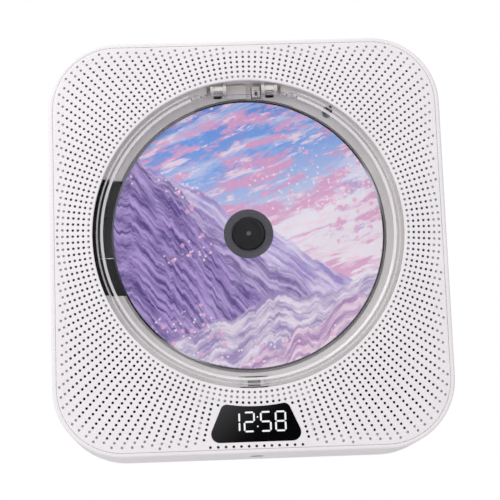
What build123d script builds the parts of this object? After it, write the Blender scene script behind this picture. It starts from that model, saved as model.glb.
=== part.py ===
from build123d import *
import math
import os

# A wall-mounted player for 120 mm discs.
# Millimetres. +X is to the right, +Z is up and the front faces -Y.
# The origin is where the disc's axis meets the wall, and "depth" is the distance
# behind the front face, so a depth of CASE_DEPTH is the wall itself.

os.makedirs("parts", exist_ok=True)

# ---------------------------------------------------------------- driving dimensions
# case
CASE_WIDTH = 172.0          # across the front face
CASE_HEIGHT = 181.0
CASE_DEPTH = 38.0           # front face to wall
CASE_CORNER = 30.0          # corner radius of the front face
CASE_FLARE = 2.0            # each side wall leans out this much by the back
WELL_RISE = 4.8             # the disc's axis is this far above the face's centre
WALL = 2.2
RIM = 1.8                   # edge of the housing that frames the grille
RIM_ROUND = 1.0
SEAM = 0.15                 # gap between the rim and the grille
COVER_GAP = 0.2             # gap round the rear cover
COVER_THICK = 2.2

# grille
GRILLE_THICK = 1.5
GRILLE_ROUND = 0.3
BAFFLE_THICK = 1.8
HOLE_RADIUS = 0.6
HOLE_RING_FIRST = 69.5      # radius of the innermost ring of holes
HOLE_RING_PITCH = 2.225
HOLE_RINGS = 20
HOLE_RAYS = 180
HOLE_EDGE = 0.3             # between a hole and the rim of the loudspeaker's opening
LINING_THICK = 0.3          # felt behind the grille
LINING_INSET = 7.0          # from the grille's edge to the felt
LINING_GAP = 0.2

# disc
DISC_RADIUS = 60.0
DISC_BORE_RADIUS = 7.5
DISC_THICK = 1.2
LABEL_THICK = 0.1
LABEL_INNER = 10.9
LABEL_OUTER = 59.2
DISC_DEPTH = 7.0            # front of the disc

# well and lid
OPENING_RADIUS = 67.8       # in the grille
WELL_RADIUS = 67.9          # upper wall
WELL_LOWER_RADIUS = 65.4    # lower wall, inside the ledge
WELL_WALL = 1.5
LEDGE_DEPTH = 3.9
LEDGE_THICK = 1.6
FLOOR_DEPTH = 9.6
RECESS_RADIUS = 61.0        # the disc lies over a recess in the shelf around it
SHELF_DEPTH = 8.0
FLOOR_THICK = 1.8
LID_RADIUS = 66.3
LID_INNER_RADIUS = 64.4     # inside the lid's raised rim
LID_RIM_DEPTH = 0.7         # front of the raised rim
LID_PLATE_DEPTH = 1.3       # front of the flat plate
LID_PLATE_THICK = 1.5
LID_BEVEL = 1.2             # width of the slope between the plate and the rim
LID_SKIRT_BACK = 3.6
LID_RIM_ROUND = 0.8
LID_CHORD = 61.6            # the lid's straight top edge
HINGE_HEIGHT = 64.4         # hinge axis above the disc's axis
HINGE_DEPTH = 2.7
HINGE_PIN_RADIUS = 1.0
HINGE_KNUCKLE_RADIUS = 1.7
KNUCKLE_INNER = 9.6         # a knuckle spans these distances from the centre line
KNUCKLE_OUTER = 13.0
EAR_THICK = 1.5
SIDE_GAP = 0.3              # beside a knuckle
RUNNING_GAP = 0.05          # round a shaft in its bore
BAY_HALF_WIDTH = 16.4       # the recess for the hinge

# catch
CATCH_WIDTH = 5.0
CATCH_HEIGHT = 2.2
CATCH_AT = 65.5             # below the disc's axis
KEEPER_THICK = 0.7
MAGNET_LONG = 3.5
CATCH_GAP = 0.3
TAB_HALF_WIDTH = 6.5
TAB_REACH = 67.2            # lower edge of the finger tab below the disc's axis
SWITCH_X = 5.4              # lid switch
SWITCH_Z = 63.8
SWITCH_WIDTH = 3.6
SWITCH_HIGH = 4.8
PLUNGER_RADIUS = 0.6
PLUNGER_Z = 62.4
POCKET_X = 36.9             # screw pocket in the well's floor
POCKET_Z = 53.8
POCKET_RADIUS = 2.1

# mechanism
DECK_DEPTH = 10.0
DECK_THICK = 1.8
DECK_LEFT = -70.0
DECK_RIGHT = 21.6
DECK_HALF_HEIGHT = 25.3
DECK_GAP = 0.35             # between the deck and the hole it shows through
HUB_RADIUS = 7.3
HUB_RISE = 0.8              # the hub stands this far in front of the disc
FLANGE_RADIUS = 15.0
FLANGE_THICK = 1.2
SHAFT_RADIUS = 1.0
BALL_RADIUS = 0.9
SPINDLE_MOTOR_RADIUS = 9.5
SPINDLE_MOTOR_LONG = 9.0
LENS_START = -24.5          # lens at the inner end of its travel
SLED_TRAVEL = 32.0
SLED_HALF_LENGTH = 10.0
SLED_TOP = 22.0
SLED_BOTTOM = -11.0
SLED_DEPTH = 13.0
SLED_BACK = 20.0
ROD_DEPTH = 16.5
MAIN_ROD_HEIGHT = 18.0
MAIN_ROD_RADIUS = 1.5
SIDE_ROD_HEIGHT = -8.0
SIDE_ROD_RADIUS = 1.0
MODULE = 0.5                # gear tooth size
PRESSURE_ANGLE = 25.0
BACKLASH = 0.12
SMALL_GEAR_TEETH = 12
LARGE_GEAR_TEETH = 34
PINION_TEETH = 10
IDLER_X = -34.0
AXLE_RADIUS = 0.75          # of the idler's fixed axle
MOTOR_BEARING = -25.0       # direction from the idler to the sled motor, degrees
SLED_MOTOR_RADIUS = 5.0

# loudspeakers
SPEAKER_X = 59.5
SPEAKER_Z = -66.0
SPEAKER_RADIUS = 19.0
CONE_RADIUS = 15.6
MAGNET_RADIUS = 11.0
SPEAKER_HOLE_RADIUS = 16.8

# display
WINDOW_TOP_RADIUS = 75.5    # the top edge follows the opening
WINDOW_TOP_HALF = 13.8
WINDOW_BOTTOM_HALF = 21.0
WINDOW_BOTTOM = -90.4
WINDOW_CORNER_TOP = 2.6
WINDOW_CORNER_BOTTOM = 3.6
WINDOW_GAP = 0.1
DIGIT_WIDTH = 4.1           # between the centres of a digit's upright bars
DIGIT_HEIGHT = 8.0
DIGIT_TOP = -78.0
BAR_WIDTH = 1.05
BAR_GAP = 0.22
BAR_PROUD = 0.04
BAR_DEEP = 0.5
COLON_X = 0.75
DISPLAY_HALF_WIDTH = 22.8
DISPLAY_TOP = -73.3
DISPLAY_BOTTOM = -92.5
DISPLAY_THICK = 4.0
DISPLAY_GAP = 0.3

# keys and boards
KEY_WIDTH = 9.0
KEY_DEEP = 5.0
KEY_PITCH = 14.0
KEY_DEPTH = 22.0
KEY_PROUD = 1.0
KEY_TRAVEL = 0.5
KEY_GAP = 0.3
KEY_FLANGE = 1.0
BOARD_THICK = 1.6
SWITCH_SIZE = 6.0
SWITCH_TALL = 3.5
KEY_BOARD_BELOW = 8.7       # under the top edge of the front face
KEY_BOARD_POST_X = 43.0
KEY_BOARD_BORDER = 3.0      # board outside its screws
KEY_BOARD_WIDE = 14.0       # along the depth
MAIN_BOARD_LEFT = 34.0
MAIN_BOARD_SIDE_GAP = 1.8   # to the edge of the front face
MAIN_BOARD_HALF = 30.0
MAIN_BOARD_TO_WALL = 16.0
MAIN_BOARD_BORDER = 6.0     # from the board's left, top and bottom edges to its screws
MAIN_BOARD_RIGHT_BORDER = 5.2
PORT_GAP = 0.2              # round a socket in the case wall
JACK_X = 0.5
JACK_DEPTH = 19.0
JACK_BORE_RADIUS = 1.8
JACK_NOSE_RADIUS = 3.0

# fasteners
SCREW_RADIUS = 1.3
SCREW_HEAD_RADIUS = 2.6
SCREW_HEAD_TALL = 1.8
SCREW_HOLE_GAP = 0.2        # round a shank where it passes through
THREAD_GAP = 0.05           # round a shank in the boss it bites into
PILOT_RADIUS = SCREW_RADIUS + THREAD_GAP
BOSS_RADIUS = 3.5
SPEAKER_SCREW_HEAD = 3.9
DECK_SCREW_RADIUS = 0.8
DECK_SCREW_HEAD = 3.2
CUP_RADIUS = 4.6            # sunk cups for the rear screws
CUP_DEEP = 2.2
UPPER_SCREW_INSET_X = 18.0  # rear screws, from the edges of the front face
UPPER_SCREW_INSET_Z = 18.5
LOWER_SCREW_X = 34.0
LOWER_SCREW_INSET_Z = 9.3
SIDE_SCREW_INSET_X = 8.0
KEYHOLE_X = 50.0
KEYHOLE_Z = 48.0
KEYHOLE_HEAD_RADIUS = 4.5
KEYHOLE_SLOT_RADIUS = 2.2
KEYHOLE_DROP = 8.0
BRACKET_SPACING_X = 60.0    # four pilot holes for a wall bracket
BRACKET_SPACING_Z = 40.0
BRACKET_HOLE_RADIUS = 1.25
BRACKET_HOLE_DEEP = 6.0
PAD_RADIUS = 6.0
PAD_THICK = 1.1
PAD_INSET_X = 22.0          # from the sides of the front face

FACE_Z = -WELL_RISE
BAFFLE_BACK = GRILLE_THICK + BAFFLE_THICK
DRAFT = math.degrees(math.atan(CASE_FLARE / CASE_DEPTH))
FLOOR_BACK = FLOOR_DEPTH + FLOOR_THICK
DISC_BACK = DISC_DEPTH + DISC_THICK
DECK_BACK = DECK_DEPTH + DECK_THICK
COVER_DEPTH = CASE_DEPTH - COVER_THICK
WELL_OUTER = WELL_RADIUS + WELL_WALL
LID_PLATE_BACK = LID_PLATE_DEPTH + LID_PLATE_THICK


# ---------------------------------------------------------------- helpers
def plane_at(depth, x=0.0, z=0.0):
    """Plane parallel to the front face, seen from the front: local x is X and local y is Z."""
    return Plane(origin=(x, depth - CASE_DEPTH, z), x_dir=(1, 0, 0), z_dir=(0, -1, 0))


def block(xs, zs, depths, mode=Mode.ADD, corner=0.0):
    """Box between two values of x, z and depth, with its four long edges rounded if asked."""
    width, height = xs[1] - xs[0], zs[1] - zs[0]
    with BuildSketch(plane_at(depths[0])) as outline:
        with Locations(((xs[0] + xs[1]) / 2, (zs[0] + zs[1]) / 2)):
            if corner:
                RectangleRounded(width, height, corner)
            else:
                Rectangle(width, height)
    extrude(outline.sketch, amount=depths[0] - depths[1], mode=mode)


def posts(spots, radius, depths, mode=Mode.ADD):
    """Round posts or holes at several (x, z) places."""
    with BuildSketch(plane_at(depths[0])) as outline:
        with Locations(*spots):
            Circle(radius)
    extrude(outline.sketch, amount=depths[0] - depths[1], mode=mode)


def turned(profile, x=0.0, z=0.0, mode=Mode.ADD):
    """Turn a closed outline of (radius, depth) corners about the line through (x, z)."""
    with BuildSketch(Plane(origin=(x, 0, z), x_dir=(1, 0, 0), z_dir=(0, 0, 1))) as outline:
        with BuildLine():
            Polyline(*[(radius, depth - CASE_DEPTH) for radius, depth in profile], close=True)
        make_face()
    revolve(outline.sketch, axis=Axis((x, 0, z), (0, 1, 0)), mode=mode)


def side_plane(x):
    """Plane across X: local x is depth and local y is Z."""
    return Plane(origin=(x, -CASE_DEPTH, 0), x_dir=(0, 1, 0), z_dir=(1, 0, 0))


def level_plane(z):
    """Level plane: local x is X and local y is depth."""
    return Plane(origin=(0, -CASE_DEPTH, z), x_dir=(1, 0, 0), z_dir=(0, 0, 1))


def bar_along_x(xs, z, depth, radius, mode=Mode.ADD):
    """Round bar or bore along X."""
    with BuildSketch(side_plane(xs[0])) as outline:
        with Locations((depth, z)):
            Circle(radius)
    extrude(outline.sketch, amount=xs[1] - xs[0], mode=mode)


def bar_along_z(zs, x, depth, radius, mode=Mode.ADD):
    """Round bar or bore along Z."""
    with BuildSketch(level_plane(zs[0])) as outline:
        with Locations((x, depth)):
            Circle(radius)
    extrude(outline.sketch, amount=zs[1] - zs[0], mode=mode)


def case_outline(inset, depth):
    """Rounded outline of the case at a depth, drawn in by an inset, on the current sketch."""
    grow = CASE_FLARE * depth / CASE_DEPTH - inset
    with Locations((0, FACE_Z)):
        RectangleRounded(CASE_WIDTH + 2 * grow, CASE_HEIGHT + 2 * grow, CASE_CORNER + grow)


def window_outline(grow):
    """Display window: a tapered shape whose top edge follows the opening, on the current sketch."""
    top = WINDOW_TOP_RADIUS - grow
    top_half = WINDOW_TOP_HALF + grow
    bottom_half = WINDOW_BOTTOM_HALF + grow
    bottom = WINDOW_BOTTOM - grow
    top_z = -math.sqrt(top**2 - top_half**2)
    with BuildLine() as edge:
        ThreePointArc((-top_half, top_z), (0, -top), (top_half, top_z))
        Polyline((top_half, top_z), (bottom_half, bottom), (-bottom_half, bottom), (-top_half, top_z))
    make_face(edge.edges())


def window_sketch(depth, grow):
    """Sketch of the display window at a depth, with its corners rounded."""
    with BuildSketch(plane_at(depth)) as outline:
        window_outline(grow)
        corners = outline.vertices().group_by(Axis.Y)
        fillet(corners[-1], WINDOW_CORNER_TOP + grow)
        corners = outline.vertices().group_by(Axis.Y)
        fillet(corners[0], WINDOW_CORNER_BOTTOM + grow)
    return outline.sketch


def sound_holes():
    """Centres of the perforations in front of the loudspeakers: rings on straight rays."""
    holes = []
    reach = SPEAKER_HOLE_RADIUS - HOLE_RADIUS - HOLE_EDGE
    for ray in range(HOLE_RAYS):
        angle = 2 * math.pi * ray / HOLE_RAYS
        for ring in range(HOLE_RINGS):
            radius = HOLE_RING_FIRST + ring * HOLE_RING_PITCH
            spot = (radius * math.cos(angle), radius * math.sin(angle))
            if min(math.dist(spot, centre) for centre in SPEAKER_SPOTS.values()) < reach:
                holes.append(spot)
    return holes


def display_bars():
    """The four numerals and the colon, on the current sketch: upper bars first, then lower."""
    half = DIGIT_HEIGHT / 2
    middle = DIGIT_TOP - half
    upright = half - BAR_WIDTH - 2 * BAR_GAP + BAR_WIDTH
    across = DIGIT_WIDTH - 2 * BAR_GAP
    for left, bars in DIGITS.items():
        right = left + DIGIT_WIDTH
        places = {
            "top": (left + DIGIT_WIDTH / 2, DIGIT_TOP, True),
            "middle": (left + DIGIT_WIDTH / 2, middle, True),
            "bottom": (left + DIGIT_WIDTH / 2, DIGIT_TOP - DIGIT_HEIGHT, True),
            "upper left": (left, middle + half / 2, False),
            "upper right": (right, middle + half / 2, False),
            "lower left": (left, middle - half / 2, False),
            "lower right": (right, middle - half / 2, False),
        }
        for name in bars:
            x, z, level = places[name]
            with Locations((x, z)):
                if level:
                    SlotOverall(across, BAR_WIDTH)
                else:
                    SlotOverall(upright, BAR_WIDTH, rotation=90)
    with Locations((COLON_X, middle + half / 2), (COLON_X, middle - half / 2)):
        Circle(BAR_WIDTH / 2)


def gear_outline(teeth, tooth_at):
    """Involute spur gear with one tooth centred on a direction, on the current sketch."""
    pitch = MODULE * teeth / 2
    base = pitch * math.cos(math.radians(PRESSURE_ANGLE))
    tip = pitch + 0.8 * MODULE
    root = pitch - 1.1 * MODULE
    start = max(base, root)

    def spread(radius):
        """Involute function: how far the flank has turned at a radius."""
        ratio = math.acos(min(1.0, base / radius))
        return math.tan(ratio) - ratio

    half_tooth = (math.pi * MODULE / 2 - BACKLASH) / (2 * pitch) + spread(pitch)
    points = []
    for tooth in range(teeth):
        centre = math.radians(tooth_at) + 2 * math.pi * tooth / teeth
        flank = [start + (tip - start) * step / 3 for step in range(4)]
        half = [half_tooth - spread(radius) for radius in flank]
        side = [(root, half_tooth)] + list(zip(flank, half))
        for radius, angle in side:
            points.append((radius * math.cos(centre - angle), radius * math.sin(centre - angle)))
        for radius, angle in reversed(side):
            points.append((radius * math.cos(centre + angle), radius * math.sin(centre + angle)))
    distinct = [p for i, p in enumerate(points) if math.dist(p, points[i - 1]) > 1e-4]
    with BuildLine() as teeth_line:
        Polyline(*distinct, close=True)
    make_face(teeth_line.edges())


def screws(spots, depths, head_radius=SCREW_HEAD_RADIUS, head_tall=SCREW_HEAD_TALL, radius=SCREW_RADIUS):
    """Pan-head screws driven from behind: depths run from the tip to the head's seat."""
    tip, seat = depths
    for x, z in spots:
        turned([(0, tip), (radius, tip), (radius, seat), (0, seat)], x, z)
        turned([(0, seat), (head_radius, seat), (head_radius, seat + head_tall), (0, seat + head_tall)], x, z)
        posts([(x, z)], head_radius * 0.35, (seat + head_tall * 0.5, seat + head_tall), Mode.SUBTRACT)


def finish(piece, label):
    """Name a finished piece and write it."""
    piece.part.label = label
    export_step(piece.part, f"parts/{label}.step")


# ---------------------------------------------------------------- shared places
def wall_outer(depth):
    """Half width of the case at a depth."""
    return CASE_WIDTH / 2 + CASE_FLARE * depth / CASE_DEPTH


def top_outer(depth):
    """Height of the case's upper wall at a depth."""
    return FACE_Z + CASE_HEIGHT / 2 + CASE_FLARE * depth / CASE_DEPTH


def bottom_outer(depth):
    """Height of the case's lower wall at a depth."""
    return FACE_Z - CASE_HEIGHT / 2 - CASE_FLARE * depth / CASE_DEPTH


WELL_SCREWS = [
    (73.5 * math.cos(math.radians(angle)), 73.5 * math.sin(math.radians(angle)))
    for angle in (38, 142, 247, 293)
]
EAR_DEPTH = 8.3
EAR_TALL = 2.0
DECK_POSTS = [(x, z) for x in (-56.0, 14.0) for z in (-30.0, 30.0)]
DECK_POST_RADIUS = 1.6
DAMPER_FRONT = FLOOR_BACK
DECK_EAR_DEPTH = FLOOR_BACK + 1.5
DECK_EAR_BACK = DECK_EAR_DEPTH + DECK_THICK
DAMPER_BACK = DECK_EAR_BACK + 1.5
UPPER_SCREW_X = wall_outer(0) - UPPER_SCREW_INSET_X
UPPER_SCREW_Z = top_outer(0) - UPPER_SCREW_INSET_Z
LOWER_SCREW_Z = bottom_outer(0) + LOWER_SCREW_INSET_Z
SIDE_SCREW_X = wall_outer(0) - SIDE_SCREW_INSET_X
COVER_SCREWS = [
    (-UPPER_SCREW_X, UPPER_SCREW_Z),
    (UPPER_SCREW_X, UPPER_SCREW_Z),
    (-LOWER_SCREW_X, LOWER_SCREW_Z),
    (LOWER_SCREW_X, LOWER_SCREW_Z),
    (-SIDE_SCREW_X, -20.0),
    (SIDE_SCREW_X, -38.0),
]
CUP_DEPTH = COVER_DEPTH - CUP_DEEP
SPEAKER_SPOTS = {"left": (-SPEAKER_X, SPEAKER_Z), "right": (SPEAKER_X, SPEAKER_Z)}
SPEAKER_SCREWS = [
    (x + side * turn * 15.5, z + turn * 15.5)
    for side, (x, z) in zip((-1, 1), SPEAKER_SPOTS.values())
    for turn in (-1, 1)
]
FLANGE_BACK = BAFFLE_BACK + 1.5
KEY_XS = [KEY_PITCH * (i - 2.5) for i in range(6)]
KEY_NAMES = ["key_power", "key_previous", "key_play", "key_next", "key_volume_down", "key_volume_up"]
KEY_TOP = top_outer(KEY_DEPTH) + KEY_PROUD
KEY_FLANGE_TOP = top_outer(KEY_DEPTH - KEY_DEEP / 2 - KEY_FLANGE) - WALL - 0.05
KEY_BOARD_Z = top_outer(0) - KEY_BOARD_BELOW
KEY_STEM_BOTTOM = KEY_BOARD_Z + BOARD_THICK + SWITCH_TALL + KEY_TRAVEL + 0.1
KEY_BOARD_TOP = KEY_BOARD_Z + BOARD_THICK
KEY_BOARD_POSTS = (-KEY_BOARD_POST_X, KEY_BOARD_POST_X)
MAIN_BOARD_DEPTH = CASE_DEPTH - MAIN_BOARD_TO_WALL
MAIN_BOARD_RIGHT = wall_outer(0) - MAIN_BOARD_SIDE_GAP
BOARD_POST_Z = MAIN_BOARD_HALF - MAIN_BOARD_BORDER
WELL_POST_X = MAIN_BOARD_LEFT + MAIN_BOARD_BORDER
CASE_POST_X = MAIN_BOARD_RIGHT - MAIN_BOARD_RIGHT_BORDER
WELL_BOARD_POSTS = [(WELL_POST_X, -BOARD_POST_Z), (WELL_POST_X, BOARD_POST_Z)]
CASE_BOARD_POSTS = [(CASE_POST_X, -BOARD_POST_Z), (CASE_POST_X, BOARD_POST_Z)]
BOARD_BACK = MAIN_BOARD_DEPTH + BOARD_THICK
SOCKET_FACE = wall_outer(BOARD_BACK)
PORTS = {                   # height of the centre, width along Z, depth, corner radius of the hole
    "usb_c_inlet": (15.5, 9.0, 3.2, 1.2),
    "usb_a_port": (1.0, 13.1, 5.7, 0.2),
    "aux_jack": (-15.0, 7.0, 5.6, 0.2),
}
BRACKET_HOLES = [
    (sx * BRACKET_SPACING_X / 2, sz * BRACKET_SPACING_Z / 2) for sx in (-1, 1) for sz in (-1, 1)
]
KEYHOLES = [(-KEYHOLE_X, KEYHOLE_Z), (KEYHOLE_X, KEYHOLE_Z)]
PAD_X = wall_outer(0) - PAD_INSET_X
WALL_PADS = [(-PAD_X, 46.0), (PAD_X, 46.0), (-PAD_X, -52.0), (PAD_X, -52.0)]
DIGITS = {                  # left edge of each numeral and the bars it shows
    -7.0 - DIGIT_WIDTH: ("upper right", "lower right"),
    -4.85: ("top", "upper right", "middle", "lower left", "bottom"),
    2.2: ("top", "upper left", "middle", "lower right", "bottom"),
    8.5: ("top", "upper left", "upper right", "middle", "lower left", "lower right", "bottom"),
}
SMALL_PITCH = MODULE * SMALL_GEAR_TEETH / 2
LARGE_PITCH = MODULE * LARGE_GEAR_TEETH / 2
PINION_PITCH = MODULE * PINION_TEETH / 2
RACK_PITCH_LINE = SLED_BOTTOM - 1.5
IDLER_Z = RACK_PITCH_LINE - SMALL_PITCH
MOTOR_REACH = LARGE_PITCH + PINION_PITCH
SLED_MOTOR_X = IDLER_X + MOTOR_REACH * math.cos(math.radians(MOTOR_BEARING))
SLED_MOTOR_Z = IDLER_Z + MOTOR_REACH * math.sin(math.radians(MOTOR_BEARING))
SMALL_GEAR_DEPTHS = (14.5, 17.0)
LARGE_GEAR_DEPTHS = (20.6, 22.2)
ROD_LEFT = DECK_LEFT + 0.5
BRACKET_RIGHT = ROD_LEFT + 2.6
MAIN_ROD_END = -6.0
SIDE_ROD_END = -9.0
TURRET_HALF = 7.0
TURRET_DEPTH = 9.9

# ---------------------------------------------------------------- housing
with BuildPart() as housing:
    with BuildSketch(plane_at(CASE_DEPTH)):
        case_outline(0, CASE_DEPTH)
    extrude(amount=CASE_DEPTH, taper=DRAFT)
    fillet(housing.faces().sort_by(Axis.Y)[0].edges(), RIM_ROUND)
    with BuildSketch(plane_at(CASE_DEPTH)):
        case_outline(WALL, CASE_DEPTH)
    extrude(amount=CASE_DEPTH - BAFFLE_BACK, taper=DRAFT, mode=Mode.SUBTRACT)
    with BuildSketch(plane_at(0)):
        case_outline(RIM, 0)
    extrude(amount=-GRILLE_THICK, mode=Mode.SUBTRACT)
    # bosses behind the front wall
    posts(WELL_SCREWS, BOSS_RADIUS, (BAFFLE_BACK, EAR_DEPTH))
    posts(COVER_SCREWS, BOSS_RADIUS, (BAFFLE_BACK, CUP_DEPTH))
    posts(CASE_BOARD_POSTS, BOSS_RADIUS - 0.5, (BAFFLE_BACK, MAIN_BOARD_DEPTH))
    posts(SPEAKER_SCREWS, BOSS_RADIUS - 0.7, (BAFFLE_BACK, FLANGE_BACK))
    for post_x in KEY_BOARD_POSTS:
        bar_along_z((KEY_BOARD_TOP, top_outer(KEY_DEPTH) - WALL / 2), post_x, KEY_DEPTH, 2.2)
        bar_along_z((KEY_BOARD_TOP, KEY_BOARD_TOP + 5), post_x, KEY_DEPTH, PILOT_RADIUS, Mode.SUBTRACT)
    # pilot holes
    posts(WELL_SCREWS, PILOT_RADIUS, (EAR_DEPTH - 4.2, EAR_DEPTH), Mode.SUBTRACT)
    posts(COVER_SCREWS, PILOT_RADIUS, (CUP_DEPTH - 10, CUP_DEPTH), Mode.SUBTRACT)
    posts(CASE_BOARD_POSTS, PILOT_RADIUS, (MAIN_BOARD_DEPTH - 8, MAIN_BOARD_DEPTH), Mode.SUBTRACT)
    posts(SPEAKER_SCREWS, PILOT_RADIUS, (FLANGE_BACK - 2.8, FLANGE_BACK), Mode.SUBTRACT)
    # openings in the front wall
    posts([(0, 0)], WELL_OUTER + 0.2, (0, BAFFLE_BACK), Mode.SUBTRACT)
    posts(SPEAKER_SPOTS.values(), SPEAKER_HOLE_RADIUS, (0, BAFFLE_BACK), Mode.SUBTRACT)
    block(
        (-DISPLAY_HALF_WIDTH - DISPLAY_GAP, DISPLAY_HALF_WIDTH + DISPLAY_GAP),
        (DISPLAY_BOTTOM - DISPLAY_GAP, DISPLAY_TOP + DISPLAY_GAP),
        (0, BAFFLE_BACK),
        Mode.SUBTRACT,
    )
    with BuildSketch(plane_at(GRILLE_THICK)):
        case_outline(LINING_INSET - LINING_GAP, 0)
        Circle(WELL_OUTER + 2.0 - LINING_GAP, mode=Mode.SUBTRACT)
        with Locations((0, DISPLAY_BOTTOM)):
            Rectangle(2 * DISPLAY_HALF_WIDTH + 4 - 2 * LINING_GAP, 60, mode=Mode.SUBTRACT)
    extrude(amount=-LINING_THICK, mode=Mode.SUBTRACT)
    # openings in the side walls
    for key_x in KEY_XS:
        with BuildSketch(level_plane(top_outer(0) - 5.7)) as key_hole:
            with Locations((key_x, KEY_DEPTH)):
                RectangleRounded(KEY_WIDTH + 2 * KEY_GAP, KEY_DEEP + 2 * KEY_GAP, 1.3)
        extrude(key_hole.sketch, amount=12, mode=Mode.SUBTRACT)
    jack_wall = bottom_outer(JACK_DEPTH)
    jack_hole = JACK_NOSE_RADIUS + PORT_GAP
    bar_along_z((jack_wall - 2, jack_wall + 5), JACK_X, JACK_DEPTH, jack_hole, Mode.SUBTRACT)
    for port_z, port_wide, port_deep, port_corner in PORTS.values():
        with BuildSketch(side_plane(wall_outer(0) - 6.0)) as port_hole:
            with Locations((BOARD_BACK + port_deep / 2, port_z)):
                RectangleRounded(port_deep + 2 * PORT_GAP, port_wide + 2 * PORT_GAP, port_corner)
        extrude(port_hole.sketch, amount=12, mode=Mode.SUBTRACT)
finish(housing, "housing")

# ---------------------------------------------------------------- grille and the felt behind it
with BuildPart() as front_grille:
    with BuildSketch(plane_at(0)):
        case_outline(RIM + SEAM, 0)
        Circle(OPENING_RADIUS, mode=Mode.SUBTRACT)
    extrude(amount=-GRILLE_THICK)
    fillet(front_grille.faces().sort_by(Axis.Y)[0].edges(), GRILLE_ROUND)
    extrude(window_sketch(0, WINDOW_GAP), amount=-GRILLE_THICK, mode=Mode.SUBTRACT)
    with BuildSketch(plane_at(0)) as perforations:
        with Locations(*sound_holes()):
            Circle(HOLE_RADIUS)
    extrude(perforations.sketch, amount=-GRILLE_THICK, mode=Mode.SUBTRACT, clean=False)
finish(front_grille, "front_grille")

with BuildPart() as baffle_lining:
    with BuildSketch(plane_at(GRILLE_THICK)):
        case_outline(LINING_INSET, 0)
        Circle(WELL_OUTER + 2.0, mode=Mode.SUBTRACT)
        with Locations((0, DISPLAY_BOTTOM)):
            Rectangle(2 * DISPLAY_HALF_WIDTH + 4, 60, mode=Mode.SUBTRACT)
        with Locations(*SPEAKER_SPOTS.values()):
            Circle(SPEAKER_HOLE_RADIUS, mode=Mode.SUBTRACT)
    extrude(amount=-LINING_THICK)
finish(baffle_lining, "baffle_lining")

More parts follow.
